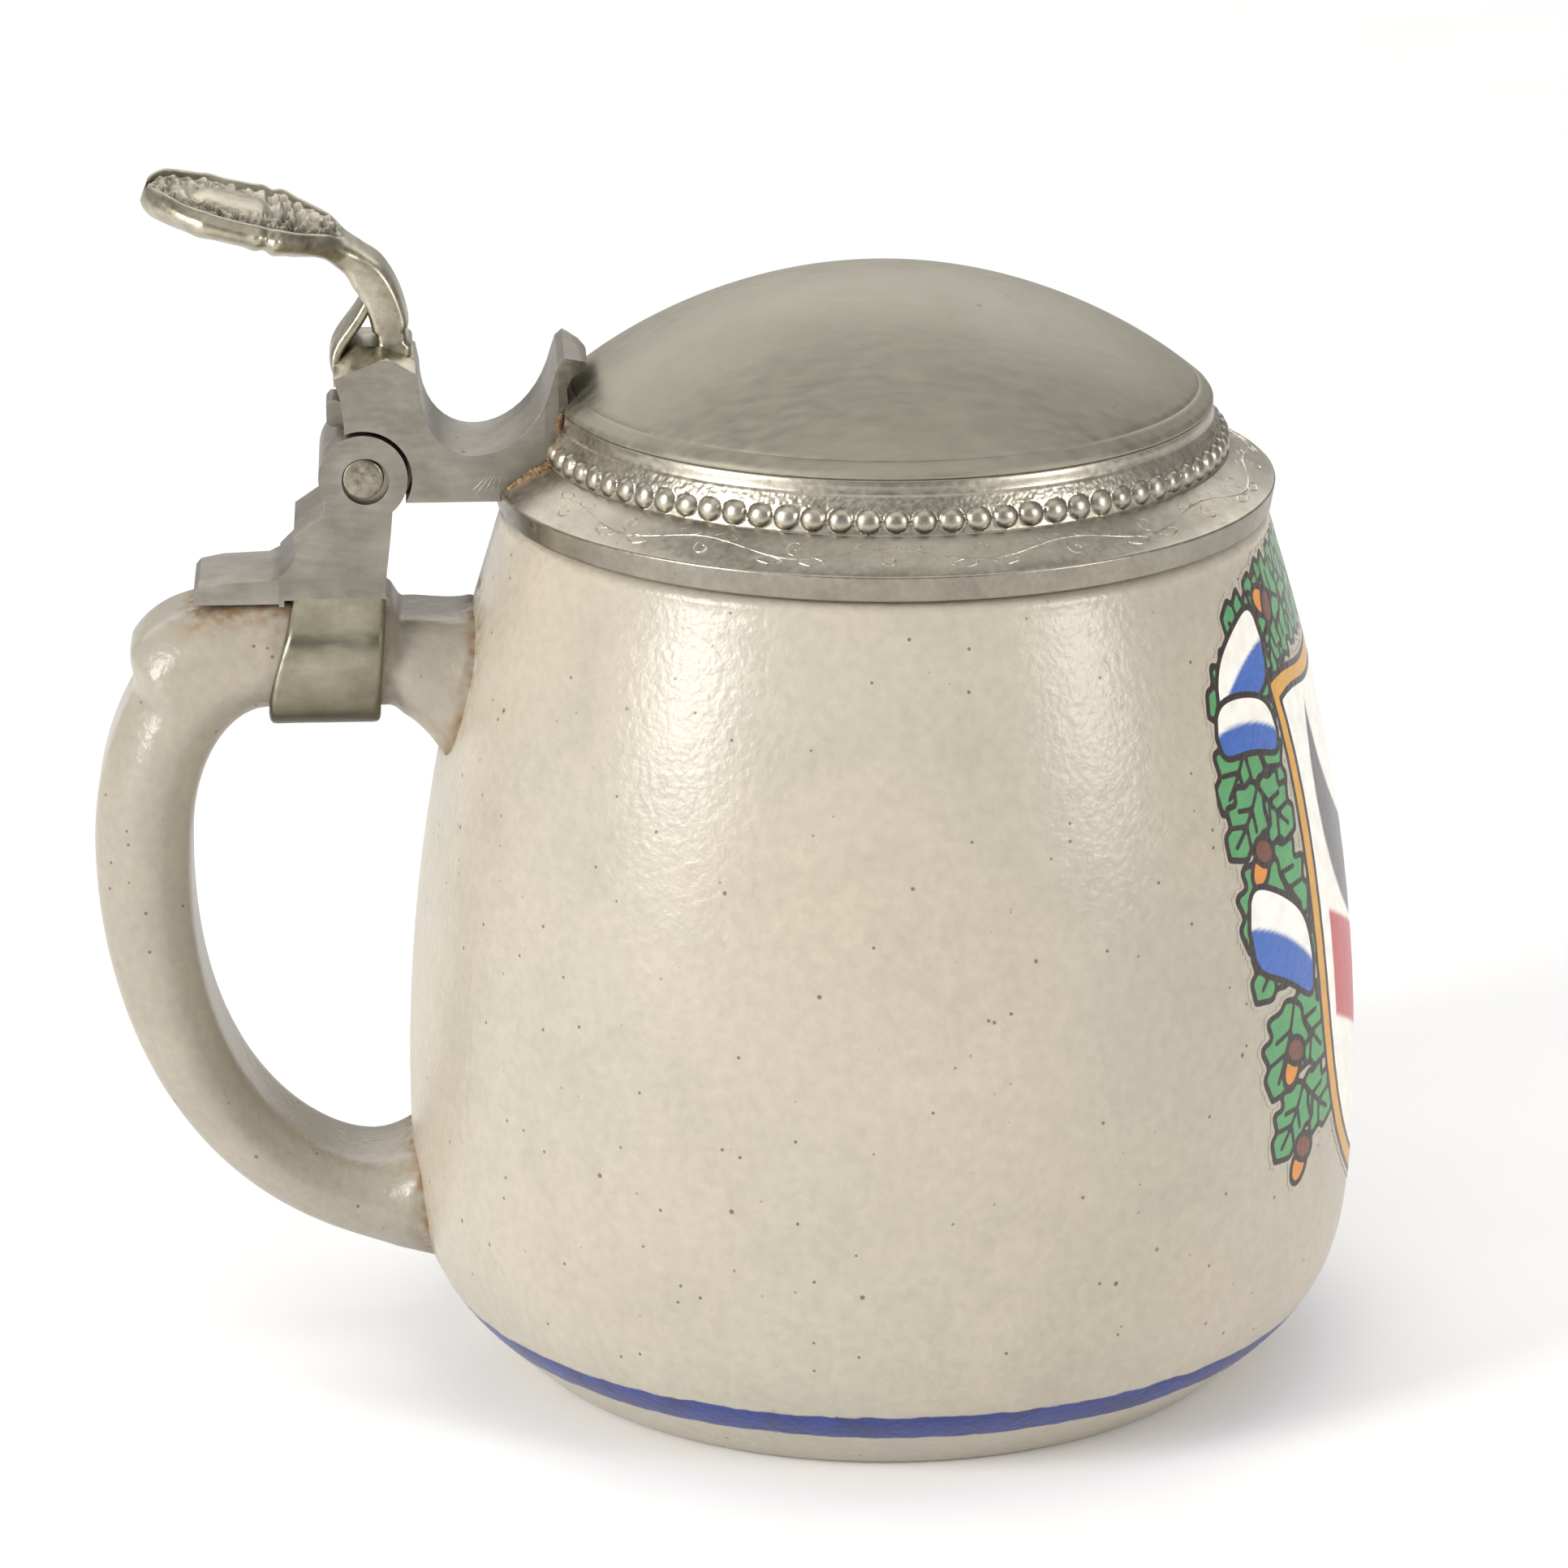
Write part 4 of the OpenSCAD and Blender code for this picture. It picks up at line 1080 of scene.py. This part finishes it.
class Picture:
    """Enamel picture on a grid: a colour, the distance to a dark line, and how far inside the paint."""

    def __init__(self, x, z, colours):
        self.x, self.z, self.colours = x, z, colours
        self.tone = np.zeros(x.shape + (3,)) + colours.outline
        self.line = np.full(x.shape, 9.0)
        self.cover = np.full(x.shape, -9.0)

    def near(self, curve):
        """Places close enough to a curve to be changed by it."""
        low, high = curve.min(0) - 1.5, curve.max(0) + 1.5
        return np.nonzero((self.x > low[0]) & (self.x < high[0]) & (self.z > low[1]) & (self.z < high[1]))

    def fill(self, paint, loop, outlined=True):
        """Fills a closed curve with a colour, and draws a dark line on its edge."""
        loop = np.concatenate([loop, loop[:1]])
        at = self.near(loop)
        x, z = self.x[at], self.z[at]
        depth = distance_to(loop, x, z) * np.where(inside(loop, x, z), 1, -1)
        share = np.clip(depth / GRAIN + 0.5, 0, 1)[:, None]
        self.tone[at] = self.tone[at] * (1 - share) + np.array(getattr(self.colours, paint)) * share
        if outlined:
            self.line[at] = np.where(depth > 0, depth, np.minimum(self.line[at], -depth))
            self.cover[at] = np.maximum(self.cover[at], depth + LINE_HALF)

    def stroke(self, curve, half_w):
        """Draws a dark line that is as wide as twice half_w."""
        at = self.near(curve)
        away = distance_to(curve, self.x[at], self.z[at])
        self.line[at] = np.minimum(self.line[at], away + LINE_HALF - half_w)


class MUG_OT_painted_front(Operator):
    """Enamelled front: a shield with a plain device, in a garland of oak leaves and ribbons"""
    bl_idname = "mug.painted_front"
    bl_label = "Painted front"

    def execute(self, context):
        m = in_mm(context.scene.mug_body_sizes)
        a = np.linspace(-PICTURE_HALF_W, PICTURE_HALF_W, int(2 * PICTURE_HALF_W / GRAIN) + 1)
        z = np.linspace(PICTURE_LOW, PICTURE_HIGH, int((PICTURE_HIGH - PICTURE_LOW) / GRAIN) + 1)
        x, z = np.broadcast_arrays(a[None, :], z[:, None])
        picture = Picture(np.abs(x), z, context.scene.mug_colours)
        self.paint(picture)
        side = outer_side(m)
        wall = np.interp(z, side[:, 1], side[:, 0]) - thrown(x / PAINT_R, z)
        skins = [np.stack([(wall + lift) * np.cos(x / PAINT_R), (wall + lift) * np.sin(x / PAINT_R), z], -1)
                 for lift in (FILM_LIFT, -FILM_LIFT)]
        points = np.stack(skins).reshape(-1, 3)
        count = x.size
        quads = grid_faces(*x.shape, columns_closed=False)
        quads = quads[(picture.cover.ravel()[quads] > -0.25).any(1)]
        edges = np.stack([quads, np.roll(quads, -1, 1)], -1).reshape(-1, 2)
        rim = edges[~np.isin(edges @ (count, 1), edges @ (1, count))]
        walls = np.stack([rim[:, 1], rim[:, 0], rim[:, 0] + count, rim[:, 1] + count], -1)
        faces = np.concatenate([quads, quads[:, ::-1] + count, walls])
        used, faces = np.unique(faces, return_inverse=True)
        marks = {"line": picture.line, "cover": picture.cover, "paint": picture.tone.reshape(-1, 3)}
        marks = {name: np.concatenate([v.reshape(count, -1)] * 2)[used] for name, v in marks.items()}
        add_piece("painted_front", points[used], faces.reshape(-1, 4), painted_stoneware(context),
                  "mug", marks=marks)
        return {"FINISHED"}

    def paint(self, picture):
        """The garland first, its ribbons over it, then the shield with its border and device."""
        self.leaves(picture, STEM_OVER, *LEAVES_OVER)
        self.leaves(picture, STEM_BESIDE, *LEAVES_BESIDE)
        for share in (0.42, 0.8, 0.96):
            self.acorn(picture, STEM_BESIDE, share)
        self.acorn(picture, STEM_OVER, 0.66)
        for share, half_h, tilt in RIBBONS:
            middle = garland_place(STEM_BESIDE, share)[0]
            picture.fill("ribbon", crossing_band(middle, half_h, tilt, -1.0))
            picture.fill("white", crossing_band(middle, half_h, tilt, 0.05), outlined=False)
        for inset, paint in ((0.0, "gold"), (BORDER_W, "white")):
            half = shield_half(inset)
            picture.fill(paint, np.concatenate([half, half[::-1] * (-1, 1)]))
        moon = crescent(middle_z=71.0, outer_r=20.0, thick=12.0, tip_angle=np.radians(30))
        picture.fill("slate", moon, outlined=False)
        bars = chevron(half_w=21.0, foot_z=48.0, rise=9.5, thick=12.5)
        picture.fill("red", bars, outlined=False)

    def leaves(self, picture, stem, pairs, size):
        """Pairs of leaves along a stem, every second one shorter and laid further out."""
        for i in range(2 * pairs):
            base, run = garland_place(stem, (i // 2 + 0.15) / pairs)
            side = 1 if i % 2 else -1
            scale, turn = (1.0, LONG_LEAF_TURN) if (i // 2) % 2 else (SHORT_LEAF, SHORT_LEAF_TURN)
            length, half_w = np.array(size) * scale
            leaf = (base, run + side * turn, length, half_w, -side * LEAF_BOW)
            picture.fill("leaf", oak_leaf(*leaf))
            for vein in leaf_veins(*leaf):
                picture.stroke(vein, VEIN_HALF)

    def acorn(self, picture, stem, share):
        """A nut that stands out of its cup, laid outwards from the stem."""
        base, run = garland_place(stem, share)
        picture.fill("acorn", oval(base, run + ACORN_TURN, ahead=3.6, half_l=2.3, half_w=1.6))
        picture.fill("cup", oval(base, run + ACORN_TURN, ahead=1.6, half_l=1.5, half_w=2.0))


# ---- finishes ----

def add_node(tree, kind, inputs, **settings):
    """Adds a shader node with its settings; each input is given a value or linked to an output."""
    made = tree.nodes.new("ShaderNode" + kind)
    for name, value in settings.items():
        setattr(made, name, value)
    for key, value in inputs.items():
        if isinstance(value, NodeSocket):
            tree.links.new(value, made.inputs[key])
        else:
            made.inputs[key].default_value = value
    return made


def per_mm(size):
    """Scale of a pattern whose grain is that many millimetres."""
    return 1 / (size * MM)


def opaque(value):
    """A colour with full alpha."""
    return (*value, 1.0)


def blended(tree, share, first, second, way="MIX"):
    """Colour that goes from the first to the second as the share goes from 0 to 1."""
    made = add_node(tree, "Mix", {0: share, 6: first, 7: second}, data_type="RGBA", blend_type=way)
    return made.outputs[2]


def noise(tree, place, grain_mm, detail):
    """Cloudy pattern with grains of that many millimetres."""
    made = add_node(tree, "TexNoise", {"Vector": place, "Scale": per_mm(grain_mm), "Detail": detail})
    return made.outputs[0]


def worked_out(tree, operation, first, second):
    """Sum, product or greater of two values."""
    return add_node(tree, "Math", {0: first, 1: second}, operation=operation).outputs[0]


def new_finish(name, metallic, roughness):
    """A material with its shader's plain numbers set: the material, its tree, shader and coordinates."""
    material = bpy.data.materials.new(name)
    material.use_nodes = True
    tree = material.node_tree
    shader = tree.nodes["Principled BSDF"]
    shader.inputs["Metallic"].default_value = metallic
    shader.inputs["Roughness"].default_value = roughness
    place = add_node(tree, "TexCoord", {}).outputs["Object"]
    return material, tree, shader, place


def salt_glazed_stoneware(context, name, banded, painted=False, shade=1.0):
    """Stoneware fired with salt: a grey body under a thin clear glaze.

    To the eye it is a warm grey that drifts over centimetres, with dark iron specks and
    an orange-peel gloss whose pebbles are about 0.7 mm across.
    """
    c = context.scene.mug_colours
    m = in_mm(context.scene.mug_body_sizes)
    material, tree, shader, place = new_finish(name, 0.0, 0.32)
    shader.inputs["IOR"].default_value = 1.52
    drift = noise(tree, place, 34, 3.0)
    warm = add_node(tree, "MapRange", {0: drift, 1: 0.42, 2: 0.66}).outputs[0]
    tone = blended(tree, warm, opaque(c.stone), opaque(c.stone_warm))
    cloud = noise(tree, place, 9, 5.0)
    cool = add_node(tree, "MapRange", {0: cloud, 1: 0.48, 2: 0.72, 4: 0.55}).outputs[0]
    tone = blended(tree, cool, tone, opaque(c.stone_cool))
    mottle = noise(tree, place, 1.3, 4.0)
    # A shade below 1 darkens the whole tone of this stoneware: painted shade.
    mottle = add_node(tree, "MapRange", {0: mottle, 1: 0.3, 2: 0.7, 3: 0.93 * shade,
                                         4: 1.05 * shade}).outputs[0]
    tone = blended(tree, 1.0, tone, mottle, "MULTIPLY")
    for grain, keep, size in ((2.1, 0.62, 0.12), (4.8, 0.6, 0.075)):
        cell = add_node(tree, "TexVoronoi", {"Vector": place, "Scale": per_mm(grain)})
        chosen = add_node(tree, "SeparateColor", {0: cell.outputs["Color"]}).outputs[0]
        chosen = add_node(tree, "MapRange", {0: chosen, 1: keep, 2: keep + 0.02}).outputs[0]
        speck = add_node(tree, "MapRange", {0: cell.outputs["Distance"], 1: size, 2: size * 0.55}).outputs[0]
        speck = worked_out(tree, "MULTIPLY", speck, chosen)
        speck = worked_out(tree, "MULTIPLY", speck, 0.85)
        tone = blended(tree, speck, tone, opaque(srgb("#54463A")))
    if banded:
        height = add_node(tree, "SeparateXYZ", {0: place}).outputs[2]
        wander = noise(tree, place, 5, 4.0)
        wander = add_node(tree, "MapRange", {0: wander, 3: -0.7 * MM, 4: 0.7 * MM}).outputs[0]
        height = worked_out(tree, "ADD", height, wander)
        low, high = m.band_low, m.band_high
        above = add_node(tree, "MapRange", {0: height, 1: (low - 0.1) * MM, 2: (low + 0.15) * MM}).outputs[0]
        below = add_node(tree, "MapRange", {0: height, 1: (high + 0.1) * MM,
                                            2: (high - 0.15) * MM}).outputs[0]
        band = worked_out(tree, "MULTIPLY", above, below)
        brush = noise(tree, place, 3, 6.0)
        brush = add_node(tree, "MapRange", {0: brush, 1: 0.35, 2: 0.7, 3: 0.72, 4: 1.35}).outputs[0]
        blue = blended(tree, 1.0, opaque(c.cobalt), brush, "MULTIPLY")
        tone = blended(tree, band, tone, blue)
    if painted:
        tone = enamelled(context, tree, place, tone)
    soil = add_node(tree, "Attribute", {}, attribute_name="soil").outputs["Fac"]
    patchy = noise(tree, place, 1.6, 6.0)
    patchy = add_node(tree, "MapRange", {0: patchy, 1: 0.36, 2: 0.62}).outputs[0]
    soil = worked_out(tree, "MULTIPLY", soil, patchy)
    tone = blended(tree, soil, tone, opaque(c.rust))
    tree.links.new(tone, shader.inputs["Base Color"])
    rough = add_node(tree, "MapRange", {0: soil, 3: 0.31, 4: 0.85}).outputs[0]
    tree.links.new(rough, shader.inputs["Roughness"])
    pebble = noise(tree, place, 0.9, 2.0)
    wave = noise(tree, place, 4.5, 2.0)
    slow = add_node(tree, "Bump", {"Strength": 0.15, "Distance": 0.2 * MM, "Height": wave})
    peel = add_node(tree, "Bump", {"Strength": 0.7, "Distance": 0.13 * MM, "Height": pebble,
                                   "Normal": slow.outputs[0]})
    tree.links.new(peel.outputs[0], shader.inputs["Normal"])
    return material


def pewter(context, name, light, dark, roughness, patch_mm=7, streak_mm=None, streak=(1, 1, 1), grain_mm=0.25,
           grain_h=0.02, pits=0.5, painted_shade_strength=0.75):
    """Pewter, a dull grey tin alloy, with tarnished patches, fine marks and pits.

    Streaks are file or lathe marks: noise squeezed along the axis in which they run.
    The painted-shade marks darken the low places, undersides and shaded sides of a casting as painted shade,
    and soil browns the joints.
    """
    c = context.scene.mug_colours
    material, tree, shader, place = new_finish(name, 1.0, roughness)
    patch = add_node(tree, "TexNoise", {"Vector": place, "Scale": per_mm(patch_mm), "Detail": 6.0,
                                        "Roughness": 0.6})
    tarnish_and_painted_shade = add_node(tree, "MapRange", {0: patch.outputs[0], 1: 0.36, 2: 0.68}).outputs[0]
    tone = blended(tree, tarnish_and_painted_shade, opaque(light), opaque(dark))
    turned_way = add_node(tree, "Mapping", {0: place, "Scale": streak}).outputs[0]
    marks = noise(tree, turned_way, streak_mm or 0.8, 4.0)
    shade = add_node(tree, "MapRange", {0: marks, 1: 0.3, 2: 0.7, 3: 0.88, 4: 1.1}).outputs[0]
    tone = blended(tree, 1.0, tone, shade, "MULTIPLY")
    cell = add_node(tree, "TexVoronoi", {"Vector": place, "Scale": per_mm(3.4)})
    chosen = add_node(tree, "SeparateColor", {0: cell.outputs["Color"]}).outputs[0]
    chosen = add_node(tree, "MapRange", {0: chosen, 1: 0.8, 2: 0.83, 4: pits}).outputs[0]
    pit = add_node(tree, "MapRange", {0: cell.outputs["Distance"], 1: 0.11, 2: 0.05}).outputs[0]
    pit = worked_out(tree, "MULTIPLY", pit, chosen)
    tone = blended(tree, pit, tone, opaque(srgb("#3D372E")))
    # Painted shade: the mark darkens recesses, undersides and shaded sides towards a dark grey.
    painted_shade = add_node(tree, "Attribute", {}, attribute_name="painted_shade").outputs["Fac"]
    painted_shade = worked_out(tree, "MULTIPLY", painted_shade, painted_shade_strength)
    tone = blended(tree, painted_shade, tone, opaque(srgb("#4E483E")))
    soil = add_node(tree, "Attribute", {}, attribute_name="soil").outputs["Fac"]
    patchy = noise(tree, place, 1.2, 6.0)
    patchy = add_node(tree, "MapRange", {0: patchy, 1: 0.4, 2: 0.6}).outputs[0]
    soil = worked_out(tree, "MULTIPLY", soil, patchy)
    tone = blended(tree, soil, tone, opaque(c.rust))
    tree.links.new(tone, shader.inputs["Base Color"])
    dirt = worked_out(tree, "MAXIMUM", soil, pit)
    metal = add_node(tree, "MapRange", {0: dirt, 3: 1.0, 4: 0.1}).outputs[0]
    tree.links.new(metal, shader.inputs["Metallic"])
    gloss = add_node(tree, "MapRange", {0: marks, 1: 0.25, 2: 0.75, 3: roughness - 0.07,
                                        4: roughness + 0.1}).outputs[0]
    gloss = worked_out(tree, "MAXIMUM", gloss, dirt)
    tree.links.new(gloss, shader.inputs["Roughness"])
    grain = noise(tree, place, grain_mm, 2.0)
    fine = add_node(tree, "Bump", {"Strength": 0.5, "Distance": grain_h * MM, "Height": grain})
    filed = add_node(tree, "Bump", {"Strength": 0.4, "Distance": 0.03 * MM, "Height": marks,
                                    "Normal": fine.outputs[0]})
    sunk = add_node(tree, "Bump", {"Strength": 0.6, "Distance": 0.1 * MM, "Height": pit,
                                   "Normal": filed.outputs[0]}, invert=True)
    tree.links.new(sunk.outputs[0], shader.inputs["Normal"])
    return material


def collar_pewter(context):
    """Cast strap, tarnished greenish: soft mottling, a few dark pits, and strong painted shade on its lower
    side.
    """
    return pewter(context, "Cast pewter collar", srgb("#A29D89"), srgb("#888370"), 0.36, patch_mm=4.5,
                  streak_mm=1.1, streak=(0.35, 1, 1), pits=0.8, painted_shade_strength=0.95)


def filed_pewter(context, name):
    """Hand-filed pewter: a warm grey with fine slanting file marks and scattered pits."""
    return pewter(context, name, srgb("#9C968C"), srgb("#837E74"), 0.42, patch_mm=6, streak_mm=0.6,
                  streak=(0.25, 1, 1), pits=0.75)


def plug_pewter(context):
    """Hammered plug: bright, with small soft dents."""
    return pewter(context, "Hammered pewter plug", srgb("#A19A8A"), srgb("#7C7667"), 0.34, patch_mm=1.2,
                  grain_mm=0.6, grain_h=0.12, pits=0.3)


def rim_pewter(context):
    """Turned and handled rim: brighter than the rest, with wear, soil, and painted shade round the beads and
    on its outer edge.
    """
    return pewter(context, "Worn pewter rim", srgb("#B0AA9C"), srgb("#9E988A"), 0.34, patch_mm=5,
                  grain_mm=0.3, grain_h=0.02, pits=0.35, painted_shade_strength=0.4)


def cut_pewter_with_painted_highlight(context):
    """The cut metal of the engraving, smoother than the flange round it and much paler: partly fresh metal
    and partly a painted highlight.
    """
    return pewter(context, "Cut pewter", srgb("#D7CFC0"), srgb("#B5AD9F"), 0.3, patch_mm=1.5, pits=0.0)


def dome_pewter(context):
    """Dome left tarnished: a soft brown-grey bloom over faint turning marks."""
    return pewter(context, "Tarnished pewter dome", srgb("#9B9688"), srgb("#959082"), 0.50, patch_mm=9,
                  streak_mm=1.2, streak=(0.3, 1, 1), pits=0.4)


def turned_pewter(context):
    """Inside of the lid, as the lathe left it."""
    return pewter(context, "Turned pewter ring", srgb("#ACA699"), srgb("#8E887B"), 0.38)


def thumblift_pewter(context):
    """Cast relief: rubbed bright on its high places, with painted shade darkening its hollows."""
    return pewter(context, "Cast pewter thumblift", srgb("#B7B09D"), srgb("#908A77"), 0.36, patch_mm=3,
                  grain_mm=0.35, grain_h=0.05, pits=0.4)


def drawn_steel():
    """Drawn steel rod, plain and slightly dulled: the hinge's hidden pin."""
    material, tree, shader, place = new_finish("Drawn steel pin", 1.0, 0.3)
    lines = add_node(tree, "Mapping", {0: place, "Scale": (1, 0.05, 1)}).outputs[0]
    drawn = noise(tree, lines, 0.3, 3.0)
    tone = blended(tree, drawn, opaque(srgb("#6E7073")), opaque(srgb("#A2A5A8")))
    tree.links.new(tone, shader.inputs["Base Color"])
    return material


def dried_soil(context):
    """Dried polish and rust packed in a joint: crumbly, brown to orange, without gloss."""
    material, tree, shader, place = new_finish("Dried soil", 0.0, 0.9)
    crumb = noise(tree, place, 0.7, 6.0)
    crumb = add_node(tree, "MapRange", {0: crumb, 1: 0.35, 2: 0.65}).outputs[0]
    tone = blended(tree, crumb, opaque(srgb("#655039")), opaque(srgb("#A5865F")))
    tree.links.new(tone, shader.inputs["Base Color"])
    rough = add_node(tree, "Bump", {"Strength": 0.8, "Distance": 0.15 * MM, "Height": crumb})
    tree.links.new(rough.outputs[0], shader.inputs["Normal"])
    return material


def painted_stoneware(context):
    """Stoneware with fired enamels on it.

    Flat glossy colours with the thick and thin of the brush, and dark lines round them,
    about 0.7 mm wide; between them the bare stoneware shows.
    """
    return salt_glazed_stoneware(context, "Enamelled stoneware", banded=False, painted=True)


def enamelled(context, tree, place, stone):
    """The enamel's colour over the stone's, by the marks paint, line and cover."""
    mark = {name: add_node(tree, "Attribute", {}, attribute_name=name) for name in ("paint", "line", "cover")}
    brushed = noise(tree, place, 2.2, 5.0)
    shade = add_node(tree, "MapRange", {0: brushed, 1: 0.3, 2: 0.7, 3: 0.9, 4: 1.06}).outputs[0]
    paint = blended(tree, 1.0, mark["paint"].outputs["Color"], shade, "MULTIPLY")
    dark = add_node(tree, "MapRange", {0: mark["line"].outputs["Fac"], 1: LINE_HALF + 0.04,
                                       2: LINE_HALF - 0.04}).outputs[0]
    paint = blended(tree, dark, paint, opaque(context.scene.mug_colours.outline))
    over = add_node(tree, "MapRange", {0: mark["cover"].outputs["Fac"], 1: -0.04, 2: 0.04}).outputs[0]
    return blended(tree, over, stone, paint)


def studio_paper():
    """Matt white paper for the floor, with a faint fibre."""
    material, tree, shader, place = new_finish("Studio paper", 0.0, 0.9)
    fibre = noise(tree, place, 40, 2.0)
    tone = blended(tree, fibre, opaque(srgb("#F8F8F8")), opaque(srgb("#FFFFFF")))
    tree.links.new(tone, shader.inputs["Base Color"])
    return material


# ---- the stage ----

# Half of the paper floor's side in millimetres
FLOOR_HALF = 6000
# Name, degrees round from the front, height, distance, width and height in metres, watts
LAMPS = (("Left strip", -58, 0.36, 0.85, 0.26, 0.42, 6.6),
         ("Right strip", 52, 0.34, 0.85, 0.18, 0.36, 3.2),
         ("Overhead", 10, 1.25, 0.25, 1.4, 1.2, 4.6),
         ("Back", -172, 0.95, 1.15, 2.4, 0.8, 10.5))
# Place of the camera in metres and degrees, its aim in degrees, and its lens
CAMERA_AWAY = 0.7055
CAMERA_HIGH = 0.295
CAMERA_AZIMUTH = 4.3
AIM_AZIMUTH = 3.38
AIM_BELOW = 17.948
SENSOR_MM = 36.0
LENS_MM = 147.8


class MUG_OT_stage(Operator):
    """Pale floor, soft lights and the camera"""
    bl_idname = "mug.stage"
    bl_label = "Stage"

    def execute(self, context):
        scene = context.scene
        x = np.linspace(-FLOOR_HALF, FLOOR_HALF, 21)
        floor = np.stack(np.broadcast_arrays(x[None, :], x[:, None], -0.02), -1)
        mesh = bpy.data.meshes.new("Floor")
        faces = grid_faces(21, 21, columns_closed=False)
        mesh.from_pydata((floor.reshape(-1, 3) * MM).tolist(), [], faces.tolist())
        mesh.materials.append(studio_paper())
        paper = bpy.data.objects.new("Floor", mesh)
        scene.collection.objects.link(paper)
        aim = Vector((0, 0, 0.055))
        for name, azimuth, height, distance, width, tall, power in LAMPS:
            lamp = bpy.data.lights.new(name, "AREA")
            lamp.shape = "RECTANGLE"
            lamp.size, lamp.size_y, lamp.energy = width, tall, power
            lamp.color = (1.0, 0.993, 0.982)
            spot = bpy.data.objects.new(name, lamp)
            angle = math.radians(azimuth)
            spot.location = (distance * math.sin(angle), -distance * math.cos(angle), height)
            spot.rotation_euler = (aim - spot.location).to_track_quat("-Z", "Y").to_euler()
            scene.collection.objects.link(spot)
        world = bpy.data.worlds.new("Studio")
        world.use_nodes = True
        sky = world.node_tree.nodes["Background"]
        sky.inputs["Color"].default_value = (1.0, 0.99, 0.975, 1.0)
        sky.inputs["Strength"].default_value = 0.42
        scene.world = world
        scene.view_settings.view_transform = "Standard"
        self.camera(scene)
        return {"FINISHED"}

    def camera(self, scene):
        """A long lens a little over the rim's height, looking slightly down on the handle side."""
        place, aim, pitch = (math.radians(angle) for angle in (CAMERA_AZIMUTH, AIM_AZIMUTH, AIM_BELOW))
        lens = bpy.data.cameras.new("Camera")
        lens.sensor_width, lens.lens = SENSOR_MM, LENS_MM
        camera = bpy.data.objects.new("Camera", lens)
        camera.location = (-CAMERA_AWAY * math.sin(place), -CAMERA_AWAY * math.cos(place), CAMERA_HIGH)
        forward = Vector((math.sin(aim) * math.cos(pitch), math.cos(aim) * math.cos(pitch), -math.sin(pitch)))
        camera.rotation_euler = forward.to_track_quat("-Z", "Y").to_euler()
        scene.collection.objects.link(camera)
        scene.camera = camera


class MUG_PT_panel(Panel):
    """Buttons for the mug's pieces, and its sizes and colours"""
    bl_idname = "MUG_PT_panel"
    bl_label = "Beer mug"
    bl_space_type = "VIEW_3D"
    bl_region_type = "UI"
    bl_category = "Beer mug"

    def draw(self, context):
        for piece in PIECES:
            self.layout.operator(piece.bl_idname)
        for name, group in SIZES.items():
            box = self.layout.box()
            box.label(text=group.__doc__)
            for prop in group.__annotations__:
                box.prop(getattr(context.scene, name), prop)


SIZES = {"mug_body_sizes": MugBodySizes, "mug_handle_sizes": HandleSizes, "mug_lid_sizes": LidSizes,
         "mug_thumblift_sizes": ThumbliftSizes, "mug_colours": FinishColours}
PIECES = [MUG_OT_body, MUG_OT_handle, MUG_OT_collar, MUG_OT_hinge, MUG_OT_lid_rim, MUG_OT_lid_engraving,
          MUG_OT_lid_dome, MUG_OT_lid_arm, MUG_OT_thumblift, MUG_OT_painted_front, MUG_OT_stage]


def register():
    """Registers the classes and hangs the sizes on the scene."""
    for group in SIZES.values():
        bpy.utils.register_class(group)
    for name, group in SIZES.items():
        setattr(bpy.types.Scene, name, PointerProperty(type=group))
    for piece in PIECES + [MUG_PT_panel]:
        bpy.utils.register_class(piece)


def unregister():
    """Takes the classes and the sizes away again."""
    for piece in reversed(PIECES + [MUG_PT_panel]):
        bpy.utils.unregister_class(piece)
    for name, group in SIZES.items():
        delattr(bpy.types.Scene, name)
        bpy.utils.unregister_class(group)


def main():
    """Makes every piece in order."""
    register()
    for piece in PIECES:
        family, name = piece.bl_idname.split(".")
        getattr(getattr(bpy.ops, family), name)()


if __name__ == "__main__":
    main()
